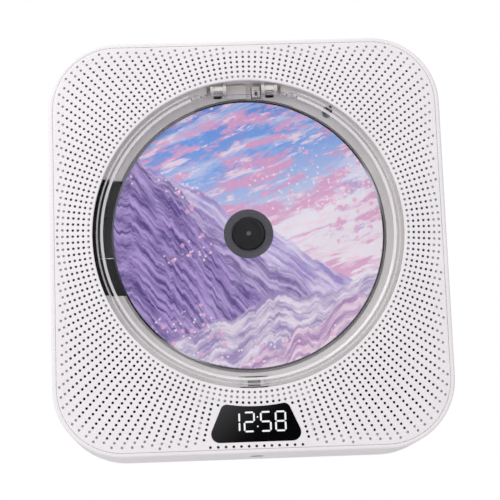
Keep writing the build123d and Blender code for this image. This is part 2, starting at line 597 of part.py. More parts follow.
# ---------------------------------------------------------------- disc well
with BuildPart() as disc_well:
    turned(
        [
            (0, FLOOR_DEPTH),
            (RECESS_RADIUS, FLOOR_DEPTH),
            (RECESS_RADIUS, SHELF_DEPTH),
            (WELL_LOWER_RADIUS, SHELF_DEPTH),
            (WELL_LOWER_RADIUS, LEDGE_DEPTH),
            (WELL_RADIUS, LEDGE_DEPTH),
            (WELL_RADIUS, GRILLE_THICK),
            (WELL_OUTER, GRILLE_THICK),
            (WELL_OUTER, LEDGE_DEPTH + LEDGE_THICK),
            (WELL_LOWER_RADIUS + WELL_WALL, LEDGE_DEPTH + LEDGE_THICK),
            (WELL_LOWER_RADIUS + WELL_WALL, FLOOR_BACK),
            (0, FLOOR_BACK),
        ]
    )
    # fixing ears
    for ear_x, ear_z in WELL_SCREWS:
        ear_at = math.degrees(math.atan2(ear_z, ear_x))
        with BuildSketch(plane_at(EAR_DEPTH)) as ear:
            with Locations((ear_x, ear_z)):
                Circle(4)
            with Locations((ear_x * 69.7 / 73.5, ear_z * 69.7 / 73.5)):
                Rectangle(7.6, 8, rotation=ear_at)
        extrude(ear.sketch, amount=-EAR_TALL)
    posts(WELL_SCREWS, SCREW_RADIUS + SCREW_HOLE_GAP, (EAR_DEPTH, EAR_DEPTH + EAR_TALL), Mode.SUBTRACT)
    # recess for the hinge
    with BuildSketch(plane_at(LEDGE_DEPTH)) as bay_block:
        Circle(WELL_OUTER)
        Circle(WELL_LOWER_RADIUS, mode=Mode.SUBTRACT)
        with Locations((0, 65)):
            Rectangle(2 * BAY_HALF_WIDTH + 2 * WELL_WALL, 20, mode=Mode.INTERSECT)
    extrude(bay_block.sketch, amount=LEDGE_DEPTH - FLOOR_BACK)
    with BuildSketch(plane_at(LEDGE_DEPTH)) as bay:
        Circle(WELL_RADIUS)
        with Locations((0, 60)):
            Rectangle(2 * BAY_HALF_WIDTH, 20, mode=Mode.INTERSECT)
    extrude(bay.sketch, amount=LEDGE_DEPTH - SHELF_DEPTH, mode=Mode.SUBTRACT)
    # pad between the hinge ears
    block((-7.8, 1.0), (61.0, 67.4), (DISC_DEPTH, FLOOR_DEPTH))
    # hinge ears
    for side in (-1, 1):
        for near, far in ((KNUCKLE_INNER - SIDE_GAP - EAR_THICK, KNUCKLE_INNER - SIDE_GAP),
                          (KNUCKLE_OUTER + SIDE_GAP, KNUCKLE_OUTER + SIDE_GAP + EAR_THICK)):
            span = sorted((side * near, side * far))
            block(span, (HINGE_HEIGHT - HINGE_KNUCKLE_RADIUS, HINGE_HEIGHT + 3.4), (3.4, FLOOR_DEPTH))
            block(
                span,
                (HINGE_HEIGHT - HINGE_KNUCKLE_RADIUS, HINGE_HEIGHT + HINGE_KNUCKLE_RADIUS),
                (HINGE_DEPTH, FLOOR_DEPTH),
            )
            bar_along_x(span, HINGE_HEIGHT, HINGE_DEPTH, HINGE_KNUCKLE_RADIUS)
            bar_along_x(span, HINGE_HEIGHT, HINGE_DEPTH, HINGE_PIN_RADIUS, Mode.SUBTRACT)
        slot = sorted((side * (KNUCKLE_INNER + 0.1), side * (KNUCKLE_OUTER + 0.4)))
        block(slot, (61.4, 63.0), (SHELF_DEPTH, FLOOR_BACK), Mode.SUBTRACT)
    # opening for the deck, which also breaks the wall on the left
    block(
        (DECK_LEFT - 5, DECK_RIGHT + DECK_GAP),
        (-DECK_HALF_HEIGHT - DECK_GAP, DECK_HALF_HEIGHT + DECK_GAP),
        (FLOOR_DEPTH, FLOOR_BACK),
        Mode.SUBTRACT,
    )
    block(
        (DECK_LEFT - 5, -55),
        (-DECK_HALF_HEIGHT - DECK_GAP, DECK_HALF_HEIGHT + DECK_GAP),
        (GRILLE_THICK, FLOOR_BACK),
        Mode.SUBTRACT,
    )
    # posts for the deck and the main board
    posts(DECK_POSTS, DECK_POST_RADIUS, (FLOOR_BACK, DAMPER_BACK))
    posts(DECK_POSTS, DECK_SCREW_RADIUS + THREAD_GAP, (FLOOR_BACK + 0.6, DAMPER_BACK), Mode.SUBTRACT)
    posts(WELL_BOARD_POSTS, BOSS_RADIUS - 0.5, (FLOOR_BACK, MAIN_BOARD_DEPTH))
    posts(WELL_BOARD_POSTS, PILOT_RADIUS, (MAIN_BOARD_DEPTH - 8, MAIN_BOARD_DEPTH), Mode.SUBTRACT)
    # catch
    block((-4.2, 4.2), (-68.0, -CATCH_AT + 1.8), (LEDGE_DEPTH, FLOOR_BACK))
    block(
        (-CATCH_WIDTH / 2 - 0.1, CATCH_WIDTH / 2 + 0.1),
        (-CATCH_AT - CATCH_HEIGHT / 2 - 0.1, -CATCH_AT + CATCH_HEIGHT / 2 + 0.1),
        (LEDGE_DEPTH - 1, LID_SKIRT_BACK + KEEPER_THICK + CATCH_GAP + MAGNET_LONG),
        Mode.SUBTRACT,
    )
    block((-6.6, 6.6), (-CATCH_AT + 1.8, -CATCH_AT + 3.0), (SHELF_DEPTH, FLOOR_BACK), Mode.SUBTRACT)
    block((-6.0, 6.0), (-67.85, -66.9), (LEDGE_DEPTH, LEDGE_DEPTH + 2.4), Mode.SUBTRACT)
    # lid switch opening
    block(
        (SWITCH_X - SWITCH_WIDTH / 2 - 0.3, SWITCH_X + SWITCH_WIDTH / 2 + 0.3),
        (SWITCH_Z - SWITCH_HIGH / 2 - 0.3, SWITCH_Z + SWITCH_HIGH / 2 + 0.3),
        (SHELF_DEPTH, FLOOR_BACK),
        Mode.SUBTRACT,
    )
    # screw pocket
    posts([(POCKET_X, POCKET_Z)], POCKET_RADIUS, (LEDGE_DEPTH, FLOOR_BACK - 0.8), Mode.SUBTRACT)
    posts([(POCKET_X, POCKET_Z)], SCREW_RADIUS + SCREW_HOLE_GAP, (FLOOR_DEPTH, FLOOR_BACK), Mode.SUBTRACT)
    posts([(POCKET_X * 1.035, POCKET_Z * 1.035)], 0.7, (LEDGE_DEPTH, LEDGE_DEPTH + 3), Mode.SUBTRACT)
finish(disc_well, "disc_well")

# ---------------------------------------------------------------- lid
with BuildPart() as lid:
    turned(
        [
            (0, LID_PLATE_DEPTH),
            (LID_INNER_RADIUS - LID_BEVEL, LID_PLATE_DEPTH),
            (LID_INNER_RADIUS, LID_RIM_DEPTH),
            (LID_RADIUS - LID_RIM_ROUND, LID_RIM_DEPTH),
            (LID_RADIUS, LID_RIM_DEPTH + LID_RIM_ROUND),
            (LID_RADIUS, LID_SKIRT_BACK),
            (LID_INNER_RADIUS, LID_SKIRT_BACK),
            (LID_INNER_RADIUS, LID_PLATE_BACK),
            (0, LID_PLATE_BACK),
        ]
    )
    block((-LID_RADIUS, LID_RADIUS), (LID_CHORD, LID_RADIUS + 1), (0, 6), Mode.SUBTRACT)
    block((-TAB_HALF_WIDTH, TAB_HALF_WIDTH), (-TAB_REACH, -LID_INNER_RADIUS), (LID_RIM_DEPTH, LID_SKIRT_BACK))
    block((1 - TAB_HALF_WIDTH, TAB_HALF_WIDTH - 1), (-TAB_REACH - 1, -66.6), (0.2, 1.5), Mode.SUBTRACT)
    block((7.75, 8.25), (53.0, LID_CHORD), (LID_PLATE_BACK, LID_PLATE_BACK + 0.6))
    # tongue over the lid switch
    tongue = (SWITCH_X - 0.8, SWITCH_X + 0.8)
    block(tongue, (LID_CHORD - 1, PLUNGER_Z + 0.9), (LID_PLATE_DEPTH, LID_PLATE_BACK))
    for side in (-1, 1):
        arm = sorted((side * KNUCKLE_INNER, side * KNUCKLE_OUTER))
        block(arm, (LID_CHORD - 4, HINGE_HEIGHT), (LID_PLATE_DEPTH, LID_PLATE_BACK))
        bar_along_x(arm, HINGE_HEIGHT, HINGE_DEPTH, HINGE_KNUCKLE_RADIUS)
        bar_along_x(arm, HINGE_HEIGHT, HINGE_DEPTH, HINGE_PIN_RADIUS + RUNNING_GAP, Mode.SUBTRACT)
finish(lid, "lid")

with BuildPart() as lid_keeper:
    block(
        (-CATCH_WIDTH / 2 + 0.1, CATCH_WIDTH / 2 - 0.1),
        (-CATCH_AT - 0.95, -CATCH_AT + 0.95),
        (LID_SKIRT_BACK, LID_SKIRT_BACK + KEEPER_THICK),
        corner=0.3,
    )
finish(lid_keeper, "lid_keeper")

with BuildPart() as catch_magnet:
    block(
        (-CATCH_WIDTH / 2, CATCH_WIDTH / 2),
        (-CATCH_AT - CATCH_HEIGHT / 2, -CATCH_AT + CATCH_HEIGHT / 2),
        (LID_SKIRT_BACK + KEEPER_THICK + CATCH_GAP, LID_SKIRT_BACK + KEEPER_THICK + CATCH_GAP + MAGNET_LONG),
    )
finish(catch_magnet, "catch_magnet")

with BuildPart() as lid_hinge_pins:
    for side in (-1, 1):
        near = KNUCKLE_INNER - SIDE_GAP - EAR_THICK
        far = KNUCKLE_OUTER + SIDE_GAP + EAR_THICK
        bar_along_x(sorted((side * near, side * far)), HINGE_HEIGHT, HINGE_DEPTH, HINGE_PIN_RADIUS)
finish(lid_hinge_pins, "lid_hinge_pins")

with BuildPart() as lid_switch_body:
    xs = (SWITCH_X - SWITCH_WIDTH / 2, SWITCH_X + SWITCH_WIDTH / 2)
    zs = (SWITCH_Z - SWITCH_HIGH / 2, SWITCH_Z + SWITCH_HIGH / 2)
    block(xs, zs, (5.5, FLOOR_BACK))
    block((xs[0] - 1, xs[1] + 1), (zs[0] - 1, zs[1] + 1), (FLOOR_BACK, FLOOR_BACK + 1.6))
    posts([(SWITCH_X, PLUNGER_Z)], PLUNGER_RADIUS + RUNNING_GAP, (5.5, 9.0), Mode.SUBTRACT)
finish(lid_switch_body, "lid_switch_body")

with BuildPart() as lid_switch_plunger:
    turned(
        [
            (0, LID_PLATE_BACK + 0.05),
            (0.35, LID_PLATE_BACK + 0.05),
            (PLUNGER_RADIUS, LID_PLATE_BACK + 0.3),
            (PLUNGER_RADIUS, 8.4),
            (0, 8.4),
        ],
        SWITCH_X,
        PLUNGER_Z,
    )
finish(lid_switch_plunger, "lid_switch_plunger")

# ---------------------------------------------------------------- disc and turntable
with BuildPart() as disc:
    turned(
        [
            (DISC_BORE_RADIUS, DISC_DEPTH + LABEL_THICK),
            (DISC_RADIUS, DISC_DEPTH + LABEL_THICK),
            (DISC_RADIUS, DISC_BACK),
            (DISC_BORE_RADIUS, DISC_BACK),
        ]
    )
finish(disc, "disc")

with BuildPart() as disc_label:
    turned(
        [
            (LABEL_INNER, DISC_DEPTH),
            (LABEL_OUTER, DISC_DEPTH),
            (LABEL_OUTER, DISC_DEPTH + LABEL_THICK),
            (LABEL_INNER, DISC_DEPTH + LABEL_THICK),
        ]
    )
finish(disc_label, "disc_label")

HUB_FRONT = DISC_DEPTH - HUB_RISE
FLANGE_DEPTH = DISC_BACK
BALL_ORBIT = HUB_RADIUS - BALL_RADIUS + 0.05
BALLS = [
    (BALL_ORBIT * math.cos(math.radians(angle)), BALL_ORBIT * math.sin(math.radians(angle)))
    for angle in (90, 210, 330)
]
BALL_DEPTH = DISC_DEPTH + 0.5


def ball(x, z, mode=Mode.ADD):
    """One ball of the hub, turned about its own axis."""
    with BuildSketch(Plane(origin=(x, BALL_DEPTH - CASE_DEPTH, z), x_dir=(1, 0, 0), z_dir=(0, 0, 1))) as half:
        Circle(BALL_RADIUS)
        with Locations((-BALL_RADIUS, 0)):
            Rectangle(2 * BALL_RADIUS, 4 * BALL_RADIUS, mode=Mode.SUBTRACT)
    revolve(half.sketch, axis=Axis((x, 0, z), (0, 1, 0)), mode=mode)


with BuildPart() as turntable_hub:
    turned(
        [
            (0, HUB_FRONT + 0.4),
            (HUB_RADIUS - 2.1, HUB_FRONT + 0.4),
            (HUB_RADIUS - 2.1, HUB_FRONT),
            (HUB_RADIUS - 0.6, HUB_FRONT),
            (HUB_RADIUS, HUB_FRONT + 0.8),
            (HUB_RADIUS, FLANGE_DEPTH),
            (FLANGE_RADIUS, FLANGE_DEPTH),
            (FLANGE_RADIUS, FLANGE_DEPTH + FLANGE_THICK),
            (3.5, FLANGE_DEPTH + FLANGE_THICK),
            (3.5, DECK_DEPTH + 0.4),
            (0, DECK_DEPTH + 0.4),
        ]
    )
    posts([(0, 0)], SHAFT_RADIUS, (HUB_FRONT - 1, DECK_DEPTH + 1), Mode.SUBTRACT)
    for x, z in BALLS:
        ball(x, z, Mode.SUBTRACT)
finish(turntable_hub, "turntable_hub")

with BuildPart() as chucking_balls:
    for x, z in BALLS:
        ball(x, z)
finish(chucking_balls, "chucking_balls")

SPINDLE_MOTOR_BACK = DECK_BACK + SPINDLE_MOTOR_LONG
with BuildPart() as spindle_shaft:
    posts([(0, 0)], SHAFT_RADIUS, (HUB_FRONT - 0.3, SPINDLE_MOTOR_BACK - 1.3))
finish(spindle_shaft, "spindle_shaft")

with BuildPart() as spindle_motor:
    turned(
        [
            (SHAFT_RADIUS + RUNNING_GAP, DECK_DEPTH + 0.9),
            (4.4, DECK_DEPTH + 0.9),
            (4.4, DECK_BACK),
            (SPINDLE_MOTOR_RADIUS, DECK_BACK),
            (SPINDLE_MOTOR_RADIUS, SPINDLE_MOTOR_BACK),
            (0, SPINDLE_MOTOR_BACK),
            (0, SPINDLE_MOTOR_BACK - 1),
            (SHAFT_RADIUS + RUNNING_GAP, SPINDLE_MOTOR_BACK - 1),
        ]
    )
finish(spindle_motor, "spindle_motor")

# ---------------------------------------------------------------- deck
with BuildPart() as deck_plate:
    block((DECK_LEFT, DECK_RIGHT), (-DECK_HALF_HEIGHT, DECK_HALF_HEIGHT), (DECK_DEPTH, DECK_BACK))
    block((DECK_LEFT - 1.6, DECK_LEFT), (-DECK_HALF_HEIGHT, DECK_HALF_HEIGHT), (BAFFLE_BACK + 0.3, DECK_BACK))
    for x, z in DECK_POSTS:
        side = math.copysign(1, z)
        web = sorted((side * (DECK_HALF_HEIGHT - 1.5), side * (DECK_HALF_HEIGHT - 0.1)))
        ear = sorted((side * (DECK_HALF_HEIGHT - 1.5), z + side * 4.5))
        block((x - 4.5, x + 4.5), web, (DECK_BACK, DECK_EAR_BACK))
        block((x - 4.5, x + 4.5), ear, (DECK_EAR_DEPTH, DECK_EAR_BACK))
    posts(DECK_POSTS, 3.1, (DECK_EAR_DEPTH, DECK_EAR_BACK), Mode.SUBTRACT)
    # brackets for the guide rods
    for rod_z, rod_end, drop in ((MAIN_ROD_HEIGHT, MAIN_ROD_END, 3), (SIDE_ROD_HEIGHT, SIDE_ROD_END, 2.6)):
        block((ROD_LEFT, BRACKET_RIGHT), (rod_z - drop, rod_z + 3), (DECK_BACK, ROD_DEPTH + 2.4))
        block((rod_end - 3, rod_end), (rod_z - drop, rod_z + 3), (DECK_BACK, ROD_DEPTH + 2.4))
    bar_along_x((ROD_LEFT, MAIN_ROD_END), MAIN_ROD_HEIGHT, ROD_DEPTH, MAIN_ROD_RADIUS, Mode.SUBTRACT)
    bar_along_x((ROD_LEFT, SIDE_ROD_END), SIDE_ROD_HEIGHT, ROD_DEPTH, SIDE_ROD_RADIUS, Mode.SUBTRACT)
    # seat for the idler
    posts([(IDLER_X, IDLER_Z)], 2.0, (DECK_BACK, SMALL_GEAR_DEPTHS[0] - 0.1))
    posts([(IDLER_X, IDLER_Z)], AXLE_RADIUS, (DECK_BACK, SMALL_GEAR_DEPTHS[0] - 0.1), Mode.SUBTRACT)
    # window for the pickup and hole for the spindle motor
    window_span = (LENS_START - SLED_TRAVEL - 9.5, LENS_START + 9)
    block(window_span, (-9, 9), (DECK_DEPTH, DECK_BACK), Mode.SUBTRACT, 1.5)
    posts([(0, 0)], 4.5, (DECK_DEPTH, DECK_BACK), Mode.SUBTRACT)
finish(deck_plate, "deck_plate")

with BuildPart() as deck_dampers:
    for x, z in DECK_POSTS:
        turned(
            [
                (DECK_POST_RADIUS + 0.1, DAMPER_FRONT),
                (4.3, DAMPER_FRONT),
                (4.3, DECK_EAR_DEPTH),
                (3.05, DECK_EAR_DEPTH),
                (3.05, DECK_EAR_BACK),
                (4.3, DECK_EAR_BACK),
                (4.3, DAMPER_BACK),
                (DECK_POST_RADIUS + 0.1, DAMPER_BACK),
            ],
            x,
            z,
        )
finish(deck_dampers, "deck_dampers")

with BuildPart() as deck_screws:
    screws(DECK_POSTS, (DAMPER_BACK - 3.6, DAMPER_BACK), DECK_SCREW_HEAD, 1.2, DECK_SCREW_RADIUS)
finish(deck_screws, "deck_screws")

with BuildPart() as guide_rods:
    bar_along_x((ROD_LEFT, MAIN_ROD_END), MAIN_ROD_HEIGHT, ROD_DEPTH, MAIN_ROD_RADIUS)
    bar_along_x((ROD_LEFT, SIDE_ROD_END), SIDE_ROD_HEIGHT, ROD_DEPTH, SIDE_ROD_RADIUS)
finish(guide_rods, "guide_rods")

# ---------------------------------------------------------------- pickup
SLED_LEFT = LENS_START - SLED_HALF_LENGTH
SLED_RIGHT = LENS_START + SLED_HALF_LENGTH
with BuildPart() as pickup_sled:
    block((SLED_LEFT, SLED_RIGHT), (SLED_BOTTOM, SLED_TOP), (SLED_DEPTH, SLED_BACK))
    block(
        (LENS_START - TURRET_HALF, LENS_START + TURRET_HALF),
        (-TURRET_HALF, TURRET_HALF),
        (TURRET_DEPTH, SLED_DEPTH),
        corner=1.0,
    )
    block((LENS_START - 5.2, LENS_START + 5.2), (-5.2, 5.2), (TURRET_DEPTH - 1, 12.6), Mode.SUBTRACT)
    bore = MAIN_ROD_RADIUS + RUNNING_GAP
    bar_along_x((SLED_LEFT, SLED_RIGHT), MAIN_ROD_HEIGHT, ROD_DEPTH, bore, Mode.SUBTRACT)
    block(
        (SLED_LEFT, SLED_RIGHT),
        (SLED_BOTTOM, SIDE_ROD_HEIGHT + SIDE_ROD_RADIUS + 0.2),
        (ROD_DEPTH - SIDE_ROD_RADIUS - RUNNING_GAP, ROD_DEPTH + SIDE_ROD_RADIUS + RUNNING_GAP),
        Mode.SUBTRACT,
    )
finish(pickup_sled, "pickup_sled")

with BuildPart() as objective_lens:
    block((LENS_START - 4.6, LENS_START + 4.6), (-4.6, 4.6), (10.4, 12.2))
    turned([(0, 9.4), (1.2, 9.55), (2.2, 9.9), (2.5, 10.1), (2.5, 10.4), (0, 10.4)], LENS_START, 0)
finish(objective_lens, "objective_lens")

RACK_SPAN = (-36.0, 0.0)
RACK_ROOT = RACK_PITCH_LINE + 1.1 * MODULE
RACK_TIP = RACK_PITCH_LINE - 0.8 * MODULE
TOOTH_PITCH = math.pi * MODULE
with BuildPart() as sled_rack:
    rack_depths = (SMALL_GEAR_DEPTHS[0], SMALL_GEAR_DEPTHS[1])
    block(RACK_SPAN, (RACK_ROOT, SLED_BOTTOM), rack_depths)
    tooth_half = (TOOTH_PITCH / 2 - BACKLASH) / 2
    lean = math.tan(math.radians(PRESSURE_ANGLE))
    at_root = tooth_half + 1.1 * MODULE * lean
    at_tip = tooth_half - 0.8 * MODULE * lean
    with BuildSketch(plane_at(rack_depths[0])) as rack_teeth:
        for step in range(-1, 22):
            x = IDLER_X + (step + 0.5) * TOOTH_PITCH
            if RACK_SPAN[0] + at_root < x < RACK_SPAN[1] - at_root:
                with BuildLine():
                    Polyline(
                        (x - at_root, RACK_ROOT + 0.1),
                        (x + at_root, RACK_ROOT + 0.1),
                        (x + at_root, RACK_ROOT),
                        (x + at_tip, RACK_TIP),
                        (x - at_tip, RACK_TIP),
                        (x - at_root, RACK_ROOT),
                        close=True,
                    )
                make_face()
    extrude(rack_teeth.sketch, amount=rack_depths[0] - rack_depths[1])
finish(sled_rack, "sled_rack")

with BuildPart() as idler_gear:
    with BuildSketch(plane_at(SMALL_GEAR_DEPTHS[0], IDLER_X, IDLER_Z)) as small_gear:
        gear_outline(SMALL_GEAR_TEETH, 90)
    extrude(small_gear.sketch, amount=SMALL_GEAR_DEPTHS[0] - SMALL_GEAR_DEPTHS[1])
    posts([(IDLER_X, IDLER_Z)], 2.4, (SMALL_GEAR_DEPTHS[1], LARGE_GEAR_DEPTHS[0]))
    with BuildSketch(plane_at(LARGE_GEAR_DEPTHS[0], IDLER_X, IDLER_Z)) as large_gear:
        gear_outline(LARGE_GEAR_TEETH, MOTOR_BEARING)
    extrude(large_gear.sketch, amount=LARGE_GEAR_DEPTHS[0] - LARGE_GEAR_DEPTHS[1])
    axle_span = (SMALL_GEAR_DEPTHS[0], LARGE_GEAR_DEPTHS[1])
    posts([(IDLER_X, IDLER_Z)], AXLE_RADIUS + RUNNING_GAP, axle_span, Mode.SUBTRACT)
finish(idler_gear, "idler_gear")

with BuildPart() as idler_axle:
    posts([(IDLER_X, IDLER_Z)], AXLE_RADIUS, (DECK_BACK, LARGE_GEAR_DEPTHS[1] + 0.1))
    posts([(IDLER_X, IDLER_Z)], 1.6, (LARGE_GEAR_DEPTHS[1] + 0.1, LARGE_GEAR_DEPTHS[1] + 0.8))
finish(idler_axle, "idler_axle")

SLED_MOTOR_BACK = SLED_BACK
SLED_SHAFT_RADIUS = 0.5
with BuildPart() as sled_motor:
    posts([(SLED_MOTOR_X, SLED_MOTOR_Z)], SLED_MOTOR_RADIUS, (DECK_BACK, SLED_MOTOR_BACK))
    bore = SLED_SHAFT_RADIUS + RUNNING_GAP
    posts([(SLED_MOTOR_X, SLED_MOTOR_Z)], bore, (14.0, SLED_MOTOR_BACK), Mode.SUBTRACT)
finish(sled_motor, "sled_motor")

with BuildPart() as sled_motor_shaft:
    posts([(SLED_MOTOR_X, SLED_MOTOR_Z)], SLED_SHAFT_RADIUS, (14.3, 22.6))
finish(sled_motor_shaft, "sled_motor_shaft")

with BuildPart() as motor_pinion:
    with BuildSketch(plane_at(20.5, SLED_MOTOR_X, SLED_MOTOR_Z)) as pinion_outline:
        gear_outline(PINION_TEETH, MOTOR_BEARING + 180 + 180 / PINION_TEETH)
    extrude(pinion_outline.sketch, amount=20.5 - 22.3)
    posts([(SLED_MOTOR_X, SLED_MOTOR_Z)], SLED_SHAFT_RADIUS, (20.5, 22.3), Mode.SUBTRACT)
finish(motor_pinion, "motor_pinion")

# ---------------------------------------------------------------- loudspeakers
for side_name, (speaker_x, speaker_z) in SPEAKER_SPOTS.items():
    rim = SPEAKER_HOLE_RADIUS - 0.4
    with BuildPart() as speaker_frame:
        turned(
            [
                (rim, BAFFLE_BACK),
                (SPEAKER_RADIUS, BAFFLE_BACK),
                (SPEAKER_RADIUS, FLANGE_BACK),
                (SPEAKER_RADIUS - 1.6, FLANGE_BACK),
                (MAGNET_RADIUS + 0.8, 12.6),
                (3.0, 12.6),
                (3.0, 11.4),
                (MAGNET_RADIUS, 11.4),
                (rim, FLANGE_BACK + 0.4),
            ],
            speaker_x,
            speaker_z,
        )
    finish(speaker_frame, f"speaker_frame_{side_name}")
    with BuildPart() as speaker_cone:
        turned(
            [
                (0, 7.2),
                (2.6, 7.6),
                (4.6, 8.8),
                (CONE_RADIUS - 1.6, 5.0),
                (CONE_RADIUS - 1.0, 4.2),
                (CONE_RADIUS, 4.1),
                (rim - RUNNING_GAP, 4.3),
                (rim - RUNNING_GAP, 4.9),
                (CONE_RADIUS, 4.7),
                (CONE_RADIUS - 0.8, 4.9),
                (CONE_RADIUS - 1.4, 5.7),
                (4.7, 9.6),
                (0, 9.6),
            ],
            speaker_x,
            speaker_z,
        )
    finish(speaker_cone, f"speaker_cone_{side_name}")
    with BuildPart() as speaker_magnet:
        turned(
            [
                (0, 12.6),
                (MAGNET_RADIUS, 12.6),
                (MAGNET_RADIUS, 14.4),
                (MAGNET_RADIUS - 0.7, 14.4),
                (MAGNET_RADIUS - 0.7, 20.0),
                (0, 20.0),
            ],
            speaker_x,
            speaker_z,
        )
    finish(speaker_magnet, f"speaker_magnet_{side_name}")

with BuildPart() as speaker_screws:
    screws(SPEAKER_SCREWS, (FLANGE_BACK - 2.6, FLANGE_BACK), SPEAKER_SCREW_HEAD, 1.2)
finish(speaker_screws, "speaker_screws")

# ---------------------------------------------------------------- display
with BuildPart() as display_window:
    extrude(window_sketch(0.05, 0), amount=0.05 - GRILLE_THICK)
    with BuildSketch(plane_at(0.05)) as bar_pockets:
        display_bars()
    extrude(bar_pockets.sketch, amount=-BAR_DEEP, mode=Mode.SUBTRACT)
finish(display_window, "display_window")

with BuildPart() as display_segments:
    with BuildSketch(plane_at(0.05 - BAR_PROUD)) as bar_shapes:
        display_bars()
    extrude(bar_shapes.sketch, amount=-BAR_DEEP - BAR_PROUD)
finish(display_segments, "display_segments")

SENSOR_X = -17.0
SENSOR_Z = -84.5
with BuildPart() as display_module:
    block(
        (-DISPLAY_HALF_WIDTH, DISPLAY_HALF_WIDTH),
        (DISPLAY_BOTTOM, DISPLAY_TOP),
        (GRILLE_THICK, GRILLE_THICK + DISPLAY_THICK),
    )
    block(
        (-DISPLAY_HALF_WIDTH + 0.5, DISPLAY_HALF_WIDTH - 0.5),
        (DISPLAY_BOTTOM + 0.3, DISPLAY_TOP - 0.3),
        (GRILLE_THICK + DISPLAY_THICK, GRILLE_THICK + DISPLAY_THICK + BOARD_THICK),
    )
    block(
        (SENSOR_X - 3, SENSOR_X + 3),
        (SENSOR_Z - 3.5, SENSOR_Z + 3.5),
        (GRILLE_THICK, GRILLE_THICK + DISPLAY_THICK),
        Mode.SUBTRACT,
    )
finish(display_module, "display_module")

with BuildPart() as remote_sensor:
    block(
        (SENSOR_X - 2.7, SENSOR_X + 2.7),
        (SENSOR_Z - 3.2, SENSOR_Z + 3.2),
        (3.2, GRILLE_THICK + DISPLAY_THICK),
    )
    turned([(0, 1.7), (1.3, 2.1), (1.9, 3.2), (0, 3.2)], SENSOR_X, SENSOR_Z)
finish(remote_sensor, "remote_sensor")

# ---------------------------------------------------------------- keys
with BuildPart() as key_board:
    with BuildSketch(level_plane(KEY_BOARD_Z)) as board_outline:
        with Locations((0, KEY_DEPTH)):
            Rectangle(2 * (KEY_BOARD_POST_X + KEY_BOARD_BORDER), KEY_BOARD_WIDE)
        with Locations(*[(post_x, KEY_DEPTH) for post_x in KEY_BOARD_POSTS]):
            Circle(SCREW_RADIUS + SCREW_HOLE_GAP, mode=Mode.SUBTRACT)
    extrude(board_outline.sketch, amount=BOARD_THICK)
finish(key_board, "key_board")

with BuildPart() as key_board_screws:
    for post_x in KEY_BOARD_POSTS:
        bar_along_z((KEY_BOARD_Z, KEY_BOARD_TOP + 4.5), post_x, KEY_DEPTH, SCREW_RADIUS)
        bar_along_z((KEY_BOARD_Z - SCREW_HEAD_TALL, KEY_BOARD_Z), post_x, KEY_DEPTH, SCREW_HEAD_RADIUS)
finish(key_board_screws, "key_board_screws")

with BuildPart() as key_switches:
    for key_x in KEY_XS:
        with BuildSketch(level_plane(KEY_BOARD_TOP)) as switch_base:
            with Locations((key_x, KEY_DEPTH)):
                Rectangle(SWITCH_SIZE, SWITCH_SIZE)
        extrude(switch_base.sketch, amount=SWITCH_TALL - 1)
        bar_along_z((KEY_BOARD_TOP + SWITCH_TALL - 1, KEY_BOARD_TOP + SWITCH_TALL), key_x, KEY_DEPTH, 1.7)
finish(key_switches, "key_switches")

for key_x, key_name in zip(KEY_XS, KEY_NAMES):
    with BuildPart() as key:
        with BuildSketch(level_plane(KEY_FLANGE_TOP)) as key_shape:
            with Locations((key_x, KEY_DEPTH)):
                RectangleRounded(KEY_WIDTH, KEY_DEEP, 1.0)
        extrude(key_shape.sketch, amount=KEY_TOP - KEY_FLANGE_TOP)
        fillet(key.faces().sort_by(Axis.Z)[-1].edges(), 0.5)
        with BuildSketch(level_plane(KEY_FLANGE_TOP - KEY_FLANGE)) as flange_shape:
            with Locations((key_x, KEY_DEPTH)):
                Rectangle(KEY_WIDTH + 2 * KEY_FLANGE, KEY_DEEP + 2 * KEY_FLANGE)
        extrude(flange_shape.sketch, amount=KEY_FLANGE)
        bar_along_z((KEY_STEM_BOTTOM, KEY_FLANGE_TOP - KEY_FLANGE), key_x, KEY_DEPTH, 1.5)
    finish(key, key_name)

# ---------------------------------------------------------------- main board and sockets
with BuildPart() as main_board:
    block(
        (MAIN_BOARD_LEFT, MAIN_BOARD_RIGHT),
        (-MAIN_BOARD_HALF, MAIN_BOARD_HALF),
        (MAIN_BOARD_DEPTH, BOARD_BACK),
        corner=2.0,
    )
    posts(
        WELL_BOARD_POSTS + CASE_BOARD_POSTS,
        SCREW_RADIUS + SCREW_HOLE_GAP,
        (MAIN_BOARD_DEPTH, BOARD_BACK),
        Mode.SUBTRACT,
    )
finish(main_board, "main_board")

with BuildPart() as board_screws:
    screws(WELL_BOARD_POSTS + CASE_BOARD_POSTS, (BOARD_BACK - 8, BOARD_BACK))
finish(board_screws, "board_screws")

with BuildPart() as board_chips:
    left = MAIN_BOARD_LEFT
    block((left + 12, left + 24), (2, 14), (BOARD_BACK, BOARD_BACK + 1.4))
    block((left + 13, left + 19), (-20, -15), (BOARD_BACK, BOARD_BACK + 1.6))
    block((left + 26, left + 32), (-22, -13), (BOARD_BACK, BOARD_BACK + 1.6))
    posts([(left + 6, 8), (left + 6, -2), (left + 6, -12)], 3.15, (BOARD_BACK, BOARD_BACK + 7))
    posts([(left + 28, 20)], 5.0, (BOARD_BACK, BOARD_BACK + 10))
finish(board_chips, "board_chips")

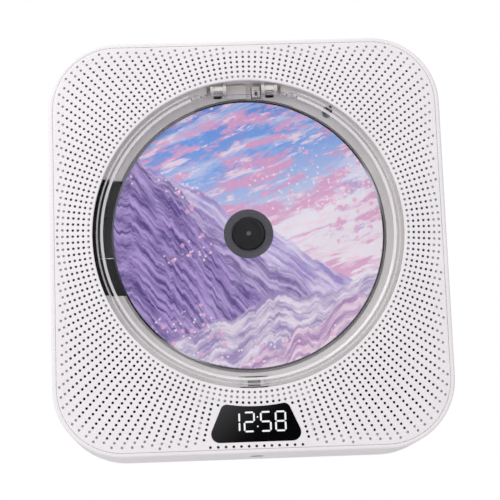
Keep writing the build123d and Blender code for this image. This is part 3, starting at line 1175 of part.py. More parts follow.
port_z, port_wide, port_deep, port_corner = PORTS["usb_c_inlet"]
with BuildPart() as usb_c_inlet:
    with BuildSketch(side_plane(SOCKET_FACE - 7.4)) as shell:
        with Locations((BOARD_BACK + port_deep / 2, port_z)):
            RectangleRounded(port_deep, port_wide, port_corner)
    extrude(shell.sketch, amount=7.4)
    with BuildSketch(side_plane(SOCKET_FACE - 6.4)) as mouth:
        with Locations((BOARD_BACK + port_deep / 2, port_z)):
            RectangleRounded(port_deep - 0.7, port_wide - 0.7, 1.0)
    extrude(mouth.sketch, amount=6.4, mode=Mode.SUBTRACT)
    with BuildSketch(side_plane(SOCKET_FACE - 6.4)) as tongue:
        with Locations((BOARD_BACK + port_deep / 2, port_z)):
            Rectangle(0.7, 6.7)
    extrude(tongue.sketch, amount=5.6)
finish(usb_c_inlet, "usb_c_inlet")

port_z, port_wide, port_deep, port_corner = PORTS["usb_a_port"]
with BuildPart() as usb_a_port:
    with BuildSketch(side_plane(SOCKET_FACE - 12.5)) as shell:
        with Locations((BOARD_BACK + port_deep / 2, port_z)):
            Rectangle(port_deep, port_wide)
    extrude(shell.sketch, amount=12.5)
    with BuildSketch(side_plane(SOCKET_FACE - 9.5)) as mouth:
        with Locations((BOARD_BACK + port_deep / 2, port_z)):
            Rectangle(port_deep - 0.8, port_wide - 0.8)
    extrude(mouth.sketch, amount=9.5, mode=Mode.SUBTRACT)
    with BuildSketch(side_plane(SOCKET_FACE - 9.5)) as tongue:
        with Locations((BOARD_BACK + port_deep / 2 - 1.0, port_z)):
            Rectangle(1.6, port_wide - 2.2)
    extrude(tongue.sketch, amount=8.8)
finish(usb_a_port, "usb_a_port")

port_z, port_wide, port_deep, port_corner = PORTS["aux_jack"]
with BuildPart() as aux_jack:
    with BuildSketch(side_plane(SOCKET_FACE - 14.5)) as body:
        with Locations((BOARD_BACK + port_deep / 2, port_z)):
            Rectangle(port_deep, port_wide)
    extrude(body.sketch, amount=14.5)
    bar_along_x(
        (SOCKET_FACE - 13.5, SOCKET_FACE), port_z, BOARD_BACK + port_deep / 2, JACK_BORE_RADIUS, Mode.SUBTRACT
    )
finish(aux_jack, "aux_jack")

JACK_FACE = bottom_outer(JACK_DEPTH)
JACK_SEAT = bottom_outer(JACK_DEPTH - 4) + WALL + 0.02
with BuildPart() as headphone_jack:
    with BuildSketch(level_plane(JACK_SEAT)) as body:
        with Locations((JACK_X, JACK_DEPTH)):
            Rectangle(11, 8)
    extrude(body.sketch, amount=11.5)
    bar_along_z((JACK_FACE, JACK_SEAT), JACK_X, JACK_DEPTH, JACK_NOSE_RADIUS)
    bar_along_z((JACK_FACE, JACK_FACE + 13), JACK_X, JACK_DEPTH, JACK_BORE_RADIUS, Mode.SUBTRACT)
finish(headphone_jack, "headphone_jack")

# ---------------------------------------------------------------- rear cover
with BuildPart() as rear_cover:
    with BuildSketch(plane_at(CASE_DEPTH)):
        case_outline(WALL + COVER_GAP, CASE_DEPTH)
    extrude(amount=COVER_THICK, taper=DRAFT)
    posts(COVER_SCREWS, CUP_RADIUS, (CUP_DEPTH, COVER_DEPTH))
    posts(COVER_SCREWS, CUP_RADIUS - 1.3, (CUP_DEPTH + 1.5, CASE_DEPTH), Mode.SUBTRACT)
    posts(COVER_SCREWS, SCREW_RADIUS + SCREW_HOLE_GAP, (CUP_DEPTH, CASE_DEPTH), Mode.SUBTRACT)
    posts([(POCKET_X, POCKET_Z)], BOSS_RADIUS, (FLOOR_BACK, COVER_DEPTH))
    posts([(POCKET_X, POCKET_Z)], PILOT_RADIUS, (FLOOR_BACK, FLOOR_BACK + 9), Mode.SUBTRACT)
    posts(BRACKET_HOLES, BOSS_RADIUS, (CASE_DEPTH - BRACKET_HOLE_DEEP - 1.5, COVER_DEPTH))
    posts(BRACKET_HOLES, BRACKET_HOLE_RADIUS, (CASE_DEPTH - BRACKET_HOLE_DEEP, CASE_DEPTH), Mode.SUBTRACT)
    posts(KEYHOLES, KEYHOLE_HEAD_RADIUS, (COVER_DEPTH, CASE_DEPTH), Mode.SUBTRACT)
    for x, z in KEYHOLES:
        slot = (x - KEYHOLE_SLOT_RADIUS, x + KEYHOLE_SLOT_RADIUS)
        block(slot, (z, z + KEYHOLE_DROP), (COVER_DEPTH, CASE_DEPTH), Mode.SUBTRACT)
        posts([(x, z + KEYHOLE_DROP)], KEYHOLE_SLOT_RADIUS, (COVER_DEPTH, CASE_DEPTH), Mode.SUBTRACT)
    posts(WALL_PADS, PAD_RADIUS + 0.1, (CASE_DEPTH - PAD_THICK, CASE_DEPTH), Mode.SUBTRACT)
    for row in range(5):
        block((-18, 18), (-52 + 5 * row, -50 + 5 * row), (COVER_DEPTH, CASE_DEPTH), Mode.SUBTRACT, 0.9)
finish(rear_cover, "rear_cover")

with BuildPart() as wall_pads:
    posts(WALL_PADS, PAD_RADIUS, (CASE_DEPTH - PAD_THICK, CASE_DEPTH))
finish(wall_pads, "wall_pads")

with BuildPart() as rear_screws:
    screws(COVER_SCREWS, (CUP_DEPTH - 8, CUP_DEPTH + 1.5))
finish(rear_screws, "rear_screws")

with BuildPart() as well_screws:
    screws(WELL_SCREWS, (EAR_DEPTH - 3.9, EAR_DEPTH + EAR_TALL))
finish(well_screws, "well_screws")

with BuildPart() as pocket_screw:
    pocket_seat = FLOOR_BACK - 0.8
    head_front = pocket_seat - 1.5
    posts([(POCKET_X, POCKET_Z)], SCREW_RADIUS, (pocket_seat, FLOOR_BACK + 8))
    posts([(POCKET_X, POCKET_Z)], POCKET_RADIUS - 0.15, (head_front, pocket_seat))
    for arm_x, arm_z in ((1.2, 0.25), (0.25, 1.2)):
        xs = (POCKET_X - arm_x, POCKET_X + arm_x)
        zs = (POCKET_Z - arm_z, POCKET_Z + arm_z)
        block(xs, zs, (head_front, head_front + 0.8), Mode.SUBTRACT)
finish(pocket_screw, "pocket_screw")
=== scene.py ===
"""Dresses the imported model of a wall-mounted disc player and sets up its studio."""

import logging
import math
from dataclasses import dataclass
from enum import Enum

import bpy
import numpy as np
from mathutils import Matrix, Vector
from mathutils.geometry import delaunay_2d_cdt

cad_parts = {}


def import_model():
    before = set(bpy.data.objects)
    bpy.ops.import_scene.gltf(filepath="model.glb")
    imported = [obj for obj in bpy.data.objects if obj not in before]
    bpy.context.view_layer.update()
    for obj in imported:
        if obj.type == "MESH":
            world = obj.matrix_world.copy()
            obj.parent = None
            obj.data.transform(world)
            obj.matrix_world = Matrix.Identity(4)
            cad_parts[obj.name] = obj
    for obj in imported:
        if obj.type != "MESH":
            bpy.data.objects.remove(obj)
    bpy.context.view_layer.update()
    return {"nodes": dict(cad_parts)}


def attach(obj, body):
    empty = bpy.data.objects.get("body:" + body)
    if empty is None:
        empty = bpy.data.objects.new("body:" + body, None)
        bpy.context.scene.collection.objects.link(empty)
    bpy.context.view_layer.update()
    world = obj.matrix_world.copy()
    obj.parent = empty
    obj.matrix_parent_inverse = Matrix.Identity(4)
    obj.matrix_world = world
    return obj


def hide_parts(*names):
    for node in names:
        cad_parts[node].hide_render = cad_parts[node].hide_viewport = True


LOG = logging.getLogger("disc_player")
CASE_DEPTH = 38.0  # mm from the front face to the wall
FACE_CENTRE_Z = -4.8  # mm, height of the front face's centre below the disc's axis
WHITE = (1.0, 1.0, 1.0, 1.0)


# ---------------------------------------------------------------- shared helpers
def linear(colour: str) -> tuple[float, float, float, float]:
    """Turns an sRGB hex colour into linear RGBA.

    Args:
        colour: six hex digits, with or without a leading hash sign.

    Returns:
        Linear red, green, blue and an alpha of 1.
    """
    digits = colour.lstrip("#")
    srgb = np.array([int(digits[i : i + 2], 16) / 255 for i in (0, 2, 4)])
    value = np.where(srgb <= 0.04045, srgb / 12.92, ((srgb + 0.055) / 1.055) ** 2.4)
    return (*map(float, value), 1.0)


def in_frame(x: np.ndarray, z: np.ndarray, depth: np.ndarray) -> np.ndarray:
    """Places points given in mm, with depth behind the front face, in the shared frame.

    The formula is (x, depth - case depth, z) / 1000.

    Args:
        x: distances to the right.
        z: heights above the disc's axis.
        depth: distances behind the front face.

    Returns:
        Points in metres, one per row.
    """
    x, z, depth = np.broadcast_arrays(x, z, depth)
    return np.stack([x.ravel(), depth.ravel() - CASE_DEPTH, z.ravel()], axis=1) / 1000


def mesh_object(name: str, points: np.ndarray, faces: list[np.ndarray], crease: float = 30) -> bpy.types.Object:
    """Makes an object at the origin whose place is in its mesh.

    Args:
        name: name of the piece.
        points: vertices in metres.
        faces: arrays of vertex numbers, each with one face per row.
        crease: edges that turn by more than this many degrees stay sharp.

    Returns:
        The new object, linked to the scene.
    """
    mesh = bpy.data.meshes.new(name)
    mesh.from_pydata(points.tolist(), [], [row for block in faces for row in block.tolist()])
    mesh.polygons.foreach_set("use_smooth", np.ones(len(mesh.polygons), dtype=bool))
    mesh.set_sharp_from_angle(angle=math.radians(crease))
    mesh.validate()
    made = bpy.data.objects.new(name, mesh)
    bpy.context.scene.collection.objects.link(made)
    return made


def rounded(corners: np.ndarray, radii: np.ndarray, steps: int = 8) -> np.ndarray:
    """Rounds the corners of a closed outline.

    Each corner becomes an arc that touches both sides: it starts radius * tan(turn / 2)
    before the corner and follows radius * (sin a * side + (1 - cos a) * inward).

    Args:
        corners: corner points, one per row.
        radii: radius of each corner; 0 keeps it sharp.
        steps: points on each arc.

    Returns:
        Points, one per row.
    """
    path = []
    for place, before, after, radius in zip(corners, np.roll(corners, 1, 0), np.roll(corners, -1, 0), radii):
        came = (place - before) / np.linalg.norm(place - before)
        goes = (after - place) / np.linalg.norm(after - place)
        side = np.sign(came[0] * goes[1] - came[1] * goes[0])
        turn = math.acos(float(np.clip(came @ goes, -1, 1)))
        angle = np.linspace(0, turn, steps if radius else 1)[:, None]
        inward = side * np.array([-came[1], came[0]])
        start = place - came * radius * math.tan(turn / 2)
        path.append(start + radius * (np.sin(angle) * came + (1 - np.cos(angle)) * inward))
    return np.concatenate(path)


def ring_wall(first: np.ndarray, second: np.ndarray) -> np.ndarray:
    """Joins two closed rings of vertex numbers with quads.

    Seen from outside the rings with the first ring nearer, a ring that runs anticlockwise
    gives faces that point away from its axis.

    Args:
        first: vertex numbers of the nearer ring.
        second: vertex numbers of the farther ring.

    Returns:
        One quad per step round the rings.
    """
    return np.stack([first, second, np.roll(second, -1), np.roll(first, -1)], axis=1)


def add(
    tree: bpy.types.NodeTree,
    kind: str,
    values: dict | None = None,
    links: dict | None = None,
    **settings: object,
) -> bpy.types.Node:
    """Adds a node with its settings and links.

    Args:
        tree: the node tree.
        kind: Blender's name for the node.
        values: constants for its sockets, by name or number.
        links: sockets that feed it, by name or number.
        **settings: the node's own properties; stops gives a colour ramp's (place, hex) pairs.

    Returns:
        The new node.
    """
    node = tree.nodes.new(kind)
    stops = settings.pop("stops", None)
    for key, value in settings.items():
        setattr(node, key, value)
    if stops:
        ramp = node.color_ramp.elements
        while len(ramp) < len(stops):
            ramp.new(1.0)
        for element, (place, colour) in zip(ramp, stops):
            element.position = place
            element.color = linear(colour)
    for key, value in (values or {}).items():
        node.inputs[key].default_value = value
    for key, socket in (links or {}).items():
        tree.links.new(socket, node.inputs[key])
    return node


# ---------------------------------------------------------------- finishes
@dataclass(frozen=True)
class Finish:
    """What every finish has: a name, its colours and its gloss."""

    name: str
    base: str
    shade: str
    roughness: float
    ior: float = 1.5
    metallic: float = 0.0
    coat: float = 0.0
    mottle_mm: float = 30.0
    grain_mm: float = 0.6
    grain_height_mm: float = 0.01
    gloss_spread: float = 0.06

    def start(self) -> tuple[bpy.types.Material, bpy.types.NodeTree, bpy.types.Node, bpy.types.Node]:
        """Makes an empty material.

        Returns:
            The material, its tree, its shader and its coordinates.
        """
        made = bpy.data.materials.new(self.name)
        made.use_nodes = True
        tree = made.node_tree
        tree.nodes.clear()
        shader = add(
            tree,
            "ShaderNodeBsdfPrincipled",
            {"IOR": self.ior, "Metallic": self.metallic, "Coat Weight": self.coat, "Coat Roughness": 0.05},
        )
        add(tree, "ShaderNodeOutputMaterial", links={"Surface": shader.outputs[0]})
        return made, tree, shader, add(tree, "ShaderNodeTexCoord")

    def material(self) -> bpy.types.Material:
        """Makes the material.

        The colour drifts between two hex values over mottle_mm, the gloss drifts by
        gloss_spread over three times the grain, and the grain gives the bump.

        Returns:
            The finished material.
        """
        made, tree, shader, place = self.start()
        here = place.outputs["Object"]
        drift = add(tree, "ShaderNodeTexNoise", {"Scale": 1000 / self.mottle_mm, "Detail": 3.0}, {"Vector": here})
        tint = add(
            tree,
            "ShaderNodeValToRGB",
            links={"Fac": drift.outputs["Fac"]},
            stops=[(0.3, self.base), (0.7, self.shade)],
        )
        tree.links.new(tint.outputs["Color"], shader.inputs["Base Color"])
        self.surface(tree, shader, here)
        return made

    def surface(self, tree: bpy.types.NodeTree, shader: bpy.types.Node, here: bpy.types.NodeSocket) -> None:
        """Adds the gloss and the grain.

        Args:
            tree: the node tree.
            shader: the shader that takes them.
            here: the coordinates.
        """
        gloss = add(tree, "ShaderNodeTexNoise", {"Scale": 333 / self.grain_mm, "Detail": 2.0}, {"Vector": here})
        spread = add(
            tree,
            "ShaderNodeMapRange",
            {"To Min": self.roughness - self.gloss_spread, "To Max": self.roughness + self.gloss_spread},
            {"Value": gloss.outputs["Fac"]},
        )
        grain = add(tree, "ShaderNodeTexNoise", {"Scale": 1000 / self.grain_mm, "Detail": 1.0}, {"Vector": here})
        bump = add(
            tree,
            "ShaderNodeBump",
            {"Strength": 1.0, "Distance": self.grain_height_mm / 1000},
            {"Height": grain.outputs["Fac"]},
        )
        tree.links.new(spread.outputs["Result"], shader.inputs["Roughness"])
        tree.links.new(bump.outputs["Normal"], shader.inputs["Normal"])


@dataclass(frozen=True)
class Clear(Finish):
    """Clear moulded plastic: light goes through, with faint wiping marks in the gloss and, where set, a painted
    highlight.
    """

    # Share of white diffuse mixed in as painted highlight.
    painted_highlight: float = 0.0

    def material(self) -> bpy.types.Material:
        """Makes the material.

        Lamp light and light that bounces off dull surfaces pass straight through. Where the highlight share is set,
        white diffuse is mixed in as a painted highlight.

        Returns:
            A transmitting material whose gloss drifts slightly, with any painted highlight mixed in.
        """
        made, tree, shader, place = self.start()
        shader.inputs["Transmission Weight"].default_value = 1.0
        shader.inputs["Base Color"].default_value = linear(self.base)
        marks = add(
            tree,
            "ShaderNodeTexNoise",
            {"Scale": 1000 / self.mottle_mm, "Detail": 4.0},
            {"Vector": place.outputs["Object"]},
        )
        spread = add(
            tree,
            "ShaderNodeMapRange",
            {"To Min": max(self.roughness - self.gloss_spread, 0), "To Max": self.roughness + self.gloss_spread},
            {"Value": marks.outputs["Fac"]},
        )
        tree.links.new(spread.outputs["Result"], shader.inputs["Roughness"])
        path = add(tree, "ShaderNodeLightPath")
        either = add(
            tree,
            "ShaderNodeMath",
            links={0: path.outputs["Is Shadow Ray"], 1: path.outputs["Is Diffuse Ray"]},
            operation="MAXIMUM",
        )
        open_way = add(tree, "ShaderNodeBsdfTransparent", {"Color": linear(self.shade)})
        mixed = add(
            tree, "ShaderNodeMixShader", links={0: either.outputs[0], 1: shader.outputs[0], 2: open_way.outputs[0]}
        )
        # Painted highlight: a share of white diffuse over the clear plastic.
        if self.painted_highlight:
            dull = add(tree, "ShaderNodeBsdfDiffuse", {"Color": linear(self.shade)})
            mixed = add(tree, "ShaderNodeMixShader", {0: self.painted_highlight}, {1: mixed.outputs[0], 2: dull.outputs[0]})
        tree.links.new(mixed.outputs[0], tree.get_output_node("ALL").inputs["Surface"])
        return made


@dataclass(frozen=True)
class Lit(Finish):
    """A bar that glows, its light drifting slightly between two tints."""

    strength: float = 0.95

    def material(self) -> bpy.types.Material:
        """Makes the material.

        Returns:
            An emitting material whose light drifts slightly along the bar.
        """
        made, tree, shader, place = self.start()
        shader.inputs["Base Color"].default_value = linear("2C2F34")
        shader.inputs["Roughness"].default_value = self.roughness
        shader.inputs["Emission Strength"].default_value = self.strength
        drift = add(
            tree,
            "ShaderNodeTexNoise",
            {"Scale": 1000 / self.mottle_mm, "Detail": 2.0},
            {"Vector": place.outputs["Object"]},
        )
        glow = add(
            tree,
            "ShaderNodeValToRGB",
            links={"Fac": drift.outputs["Fac"]},
            stops=[(0.3, self.base), (0.7, self.shade)],
        )
        tree.links.new(glow.outputs["Color"], shader.inputs["Emission Color"])
        return made


@dataclass(frozen=True)
class Turned(Finish):
    """Metal with fine rings or lines from drawing and turning."""

    line_mm: float = 0.4

    def surface(self, tree: bpy.types.NodeTree, shader: bpy.types.Node, here: bpy.types.NodeSocket) -> None:
        """Adds fine parallel lines across the depth.

        Args:
            tree: the node tree.
            shader: the shader that takes them.
            here: the coordinates.
        """
        stretch = add(tree, "ShaderNodeMapping", {"Scale": (0.05, 1.0, 0.05)}, {"Vector": here})
        lines = add(
            tree,
            "ShaderNodeTexNoise",
            {"Scale": 1000 / self.line_mm, "Detail": 3.0},
            {"Vector": stretch.outputs["Vector"]},
        )
        spread = add(
            tree,
            "ShaderNodeMapRange",
            {"To Min": self.roughness - self.gloss_spread, "To Max": self.roughness + self.gloss_spread},
            {"Value": lines.outputs["Fac"]},
        )
        bump = add(
            tree,
            "ShaderNodeBump",
            {"Strength": 1.0, "Distance": self.grain_height_mm / 1000},
            {"Height": lines.outputs["Fac"]},
        )
        tree.links.new(spread.outputs["Result"], shader.inputs["Roughness"])
        tree.links.new(bump.outputs["Normal"], shader.inputs["Normal"])


@dataclass(frozen=True)
class DiscBody(Finish):
    """A pressed polycarbonate disc: mirror under the print, clear round the hole, pale at the edge."""

    clear_to_mm: float = 10.9
    mirror_to_mm: float = 61.0

    def material(self) -> bpy.types.Material:
        """Makes the material.

        With g(r, a) = 1 where r > a and 0 elsewhere, the metal's weight is
        g(r, clear_to) * (1 - g(r, mirror_to)) and the clear weight is 1 - g(r, clear_to).

        Returns:
            A material that changes from clear plastic to mirror to pale plastic by radius.
        """
        made, tree, shader, place = self.start()
        flat = add(tree, "ShaderNodeVectorMath", {1: (1.0, 0.0, 1.0)}, {0: place.outputs["Object"]}, operation="MULTIPLY")
        radius = add(tree, "ShaderNodeVectorMath", links={0: flat.outputs[0]}, operation="LENGTH").outputs["Value"]
        past_clear = self.beyond(tree, radius, self.clear_to_mm)
        past_mirror = self.beyond(tree, radius, self.mirror_to_mm)
        metal = add(tree, "ShaderNodeMath", links={0: past_clear, 1: past_mirror}, operation="SUBTRACT")
        clear = add(
            tree,
            "ShaderNodeMapRange",
            {"To Min": 0.86, "To Max": 0.0},
            {"Value": past_clear},
        )
        shader.inputs["Base Color"].default_value = linear(self.base)
        shader.inputs["Roughness"].default_value = self.roughness
        tree.links.new(metal.outputs[0], shader.inputs["Metallic"])
        tree.links.new(clear.outputs[0], shader.inputs["Transmission Weight"])
        return made

    def beyond(
        self, tree: bpy.types.NodeTree, radius: bpy.types.NodeSocket, limit_mm: float
    ) -> bpy.types.NodeSocket:
        """Tells where the radius is past a limit.

        Args:
            tree: the node tree.
            radius: distance from the disc's axis in metres.
            limit_mm: the limit.

        Returns:
            1 past the limit and 0 within it.
        """
        step = add(tree, "ShaderNodeMath", {1: limit_mm / 1000}, {0: radius}, operation="GREATER_THAN")
        return step.outputs[0]


@dataclass(frozen=True)
class Ridge:
    """One hill: the line slope * x + height + wobble, its two inks and its brush strokes."""

    slope: float
    height: float
    waves: float
    seed: float
    dark: str
    light: str
    cover: float = 0.92


@dataclass(frozen=True)
class PrintedPicture(Finish):
    """Screen-printed picture on the disc: streaks of evening cloud over violet hills."""

    ridges: tuple[Ridge, ...] = (
        Ridge(-0.60, 0.006, 30.0, 1.3, "9D8CCB", "E0D6F0"),
        Ridge(-0.80, -0.006, 42.0, 4.1, "77619F", "CDBCE4"),
        Ridge(-1.15, -0.022, 55.0, 7.7, "513B84", "BDA4DE"),
        Ridge(0.30, -0.034, 48.0, 2.9, "A592C2", "F4EBF4", 0.9),
        Ridge(0.52, -0.054, 60.0, 5.5, "A97BB4", "F0DAE8"),
    )

    def material(self) -> bpy.types.Material:
        """Makes the material.

        Sky: a ramp along 0.3 * x - z. Clouds: flat streaks where noise passes a threshold.
        Hills: each covers what lies below its line.

        Returns:
            The printed material, lightly varnished.
        """
        made, tree, shader, place = self.start()
        here = place.outputs["Object"]
        apart = add(tree, "ShaderNodeSeparateXYZ", links={0: here})
        across, up = apart.outputs["X"], apart.outputs["Z"]
        line = add(tree, "ShaderNodeMath", {1: 0.3}, {0: across}, operation="MULTIPLY")
        slant = add(tree, "ShaderNodeMath", links={0: line.outputs[0], 1: up}, operation="SUBTRACT")
        sky = add(tree, "ShaderNodeMapRange", {"From Min": -0.06, "From Max": 0.03}, {"Value": slant.outputs[0]})
        colour = add(
            tree,
            "ShaderNodeValToRGB",
            links={"Fac": sky.outputs["Result"]},
            stops=[(0.0, "6696E2"), (0.3, "82ACEA"), (0.5, "B8C8EE"), (0.66, "F0EAF2"), (1.0, "F6EDF3")],
        ).outputs["Color"]
        colour = self.streaks(tree, colour, here, 16.0, (0.50, 0.66), "F6F0F8")
        colour = self.streaks(tree, colour, here, 30.0, (0.56, 0.64), "B09AD2")
        colour = self.streaks(tree, colour, here, 38.0, (0.50, 0.56), "E2A8CE")
        colour = self.streaks(tree, colour, here, 64.0, (0.54, 0.60), "F6DDEB")
        for ridge in self.ridges:
            colour = self.hill(tree, colour, across, up, ridge)
        colour = self.specks(tree, colour, here)
        tree.links.new(colour, shader.inputs["Base Color"])
        self.surface(tree, shader, here)
        return made

    def over(
        self,
        tree: bpy.types.NodeTree,
        under: bpy.types.NodeSocket,
        ink: str | bpy.types.NodeSocket,
        fac: bpy.types.NodeSocket,
    ) -> bpy.types.NodeSocket:
        """Lays an ink over a colour.

        Args:
            tree: the node tree.
            under: the colour below.
            ink: hex value or colour socket of the ink.
            fac: where the ink lies.

        Returns:
            The mixed colour.
        """
        flat = isinstance(ink, str)
        values, links = ({7: linear(ink)}, {}) if flat else ({}, {7: ink})
        return add(tree, "ShaderNodeMix", values, {0: fac, 6: under, **links}, data_type="RGBA").outputs[2]

    def streaks(
        self,
        tree: bpy.types.NodeTree,
        under: bpy.types.NodeSocket,
        here: bpy.types.NodeSocket,
        scale: float,
        edge: tuple[float, float],
        ink: str,
    ) -> bpy.types.NodeSocket:
        """Adds flat, slightly rising streaks of cloud.

        Args:
            tree: the node tree.
            under: the colour below.
            here: the coordinates.
            scale: waves per metre along a streak; across it there are four times as many.
            edge: noise values between which a streak fades in.
            ink: hex value.

        Returns:
            The colour with the streaks.
        """
        tilt = add(tree, "ShaderNodeMapping", {"Rotation": (0.0, 0.35, 0.0)}, {"Vector": here})
        flat = add(tree, "ShaderNodeMapping", {"Scale": (1.0, 1.0, 4.0)}, {"Vector": tilt.outputs[0]})
        noise = add(
            tree,
            "ShaderNodeTexNoise",
            {"Scale": scale, "Detail": 9.0, "Roughness": 0.66, "Distortion": 0.3},
            {"Vector": flat.outputs[0]},
        )
        fac = add(
            tree,
            "ShaderNodeMapRange",
            {"From Min": edge[0], "From Max": edge[1], "To Max": 0.9},
            {"Value": noise.outputs["Fac"]},
        )
        return self.over(tree, under, ink, fac.outputs["Result"])

    def hill(
        self,
        tree: bpy.types.NodeTree,
        under: bpy.types.NodeSocket,
        across: bpy.types.NodeSocket,
        up: bpy.types.NodeSocket,
        ridge: Ridge,
    ) -> bpy.types.NodeSocket:
        """Fills the part below a wavering line with brush strokes that follow its slope.

        Args:
            tree: the node tree.
            under: the colour behind the hill.
            across: the X coordinate.
            up: the Z coordinate.
            ridge: the hill.

        Returns:
            The colour with the hill in front.
        """
        along = add(tree, "ShaderNodeCombineXYZ", {"Y": ridge.seed}, {"X": across})
        wobble = add(
            tree, "ShaderNodeTexNoise", {"Scale": ridge.waves, "Detail": 5.0, "Roughness": 0.55}, {"Vector": along.outputs[0]}
        )
        swing = add(
            tree,
            "ShaderNodeMapRange",
            {"To Min": ridge.height - 0.014, "To Max": ridge.height + 0.014},
            {"Value": wobble.outputs["Fac"]},
        )
        lean = add(tree, "ShaderNodeMath", {1: ridge.slope}, {0: across}, operation="MULTIPLY")
        line = add(tree, "ShaderNodeMath", links={0: lean.outputs[0], 1: swing.outputs["Result"]}, operation="ADD")
        below = add(tree, "ShaderNodeMath", links={0: line.outputs[0], 1: up}, operation="SUBTRACT").outputs[0]
        stroke_place = add(tree, "ShaderNodeCombineXYZ", {"Z": ridge.seed}, {"X": across, "Y": below})
        stretched = add(tree, "ShaderNodeMapping", {"Scale": (0.22, 1.0, 1.0)}, {"Vector": stroke_place.outputs[0]})
        strokes = add(
            tree,
            "ShaderNodeTexNoise",
            {"Scale": 330.0, "Detail": 4.0, "Roughness": 0.6, "Distortion": 0.25},
            {"Vector": stretched.outputs[0]},
        )
        ink = add(
            tree,
            "ShaderNodeValToRGB",
            links={"Fac": strokes.outputs["Fac"]},
            stops=[(0.39, ridge.dark), (0.61, ridge.light)],
        )
        fac = add(tree, "ShaderNodeMapRange", {"From Min": 0.0, "From Max": 0.001, "To Max": ridge.cover}, {"Value": below})
        return self.over(tree, under, ink.outputs["Color"], fac.outputs["Result"])

    def specks(
        self, tree: bpy.types.NodeTree, under: bpy.types.NodeSocket, here: bpy.types.NodeSocket
    ) -> bpy.types.NodeSocket:
        """Scatters small soft dots of rose and pale ink in drifts.

        Args:
            tree: the node tree.
            under: the colour below.
            here: the coordinates.

        Returns:
            The colour with the dots.
        """
        drift = add(tree, "ShaderNodeTexNoise", {"Scale": 30.0, "Detail": 2.0}, {"Vector": here})
        for scale, reach, ink in ((230.0, 0.30, "EDB4D4"), (400.0, 0.27, "FBEAF4")):
            cells = add(tree, "ShaderNodeTexVoronoi", {"Scale": scale}, {"Vector": here})
            dot = add(
                tree,
                "ShaderNodeMapRange",
                {"From Min": reach, "From Max": reach * 0.6, "To Max": 0.8},
                {"Value": cells.outputs["Distance"]},
            )
            where = add(tree, "ShaderNodeMath", {1: 0.54}, {0: drift.outputs["Fac"]}, operation="GREATER_THAN")
            fac = add(tree, "ShaderNodeMath", links={0: dot.outputs[0], 1: where.outputs[0]}, operation="MULTIPLY")
            under = self.over(tree, under, ink, fac.outputs[0])
        return under


@dataclass(frozen=True)
class FibreBoard(Finish):
    """Circuit board: solder mask over copper traces that catch the light."""

    trace_mm: float = 1.6

    def surface(self, tree: bpy.types.NodeTree, shader: bpy.types.Node, here: bpy.types.NodeSocket) -> None:
        """Raises a maze of traces.

        Args:
            tree: the node tree.
            shader: the shader that takes them.
            here: the coordinates.
        """
        bricks = add(
            tree,
            "ShaderNodeTexBrick",
            {"Scale": 1000 / self.trace_mm / 4, "Mortar Size": 0.012, "Color1": WHITE, "Color2": WHITE},
            {"Vector": here},
        )
        bump = add(
            tree,
            "ShaderNodeBump",
            {"Strength": 1.0, "Distance": self.grain_height_mm / 1000},
            {"Height": bricks.outputs["Fac"]},
        )
        shader.inputs["Roughness"].default_value = self.roughness
        tree.links.new(bump.outputs["Normal"], shader.inputs["Normal"])


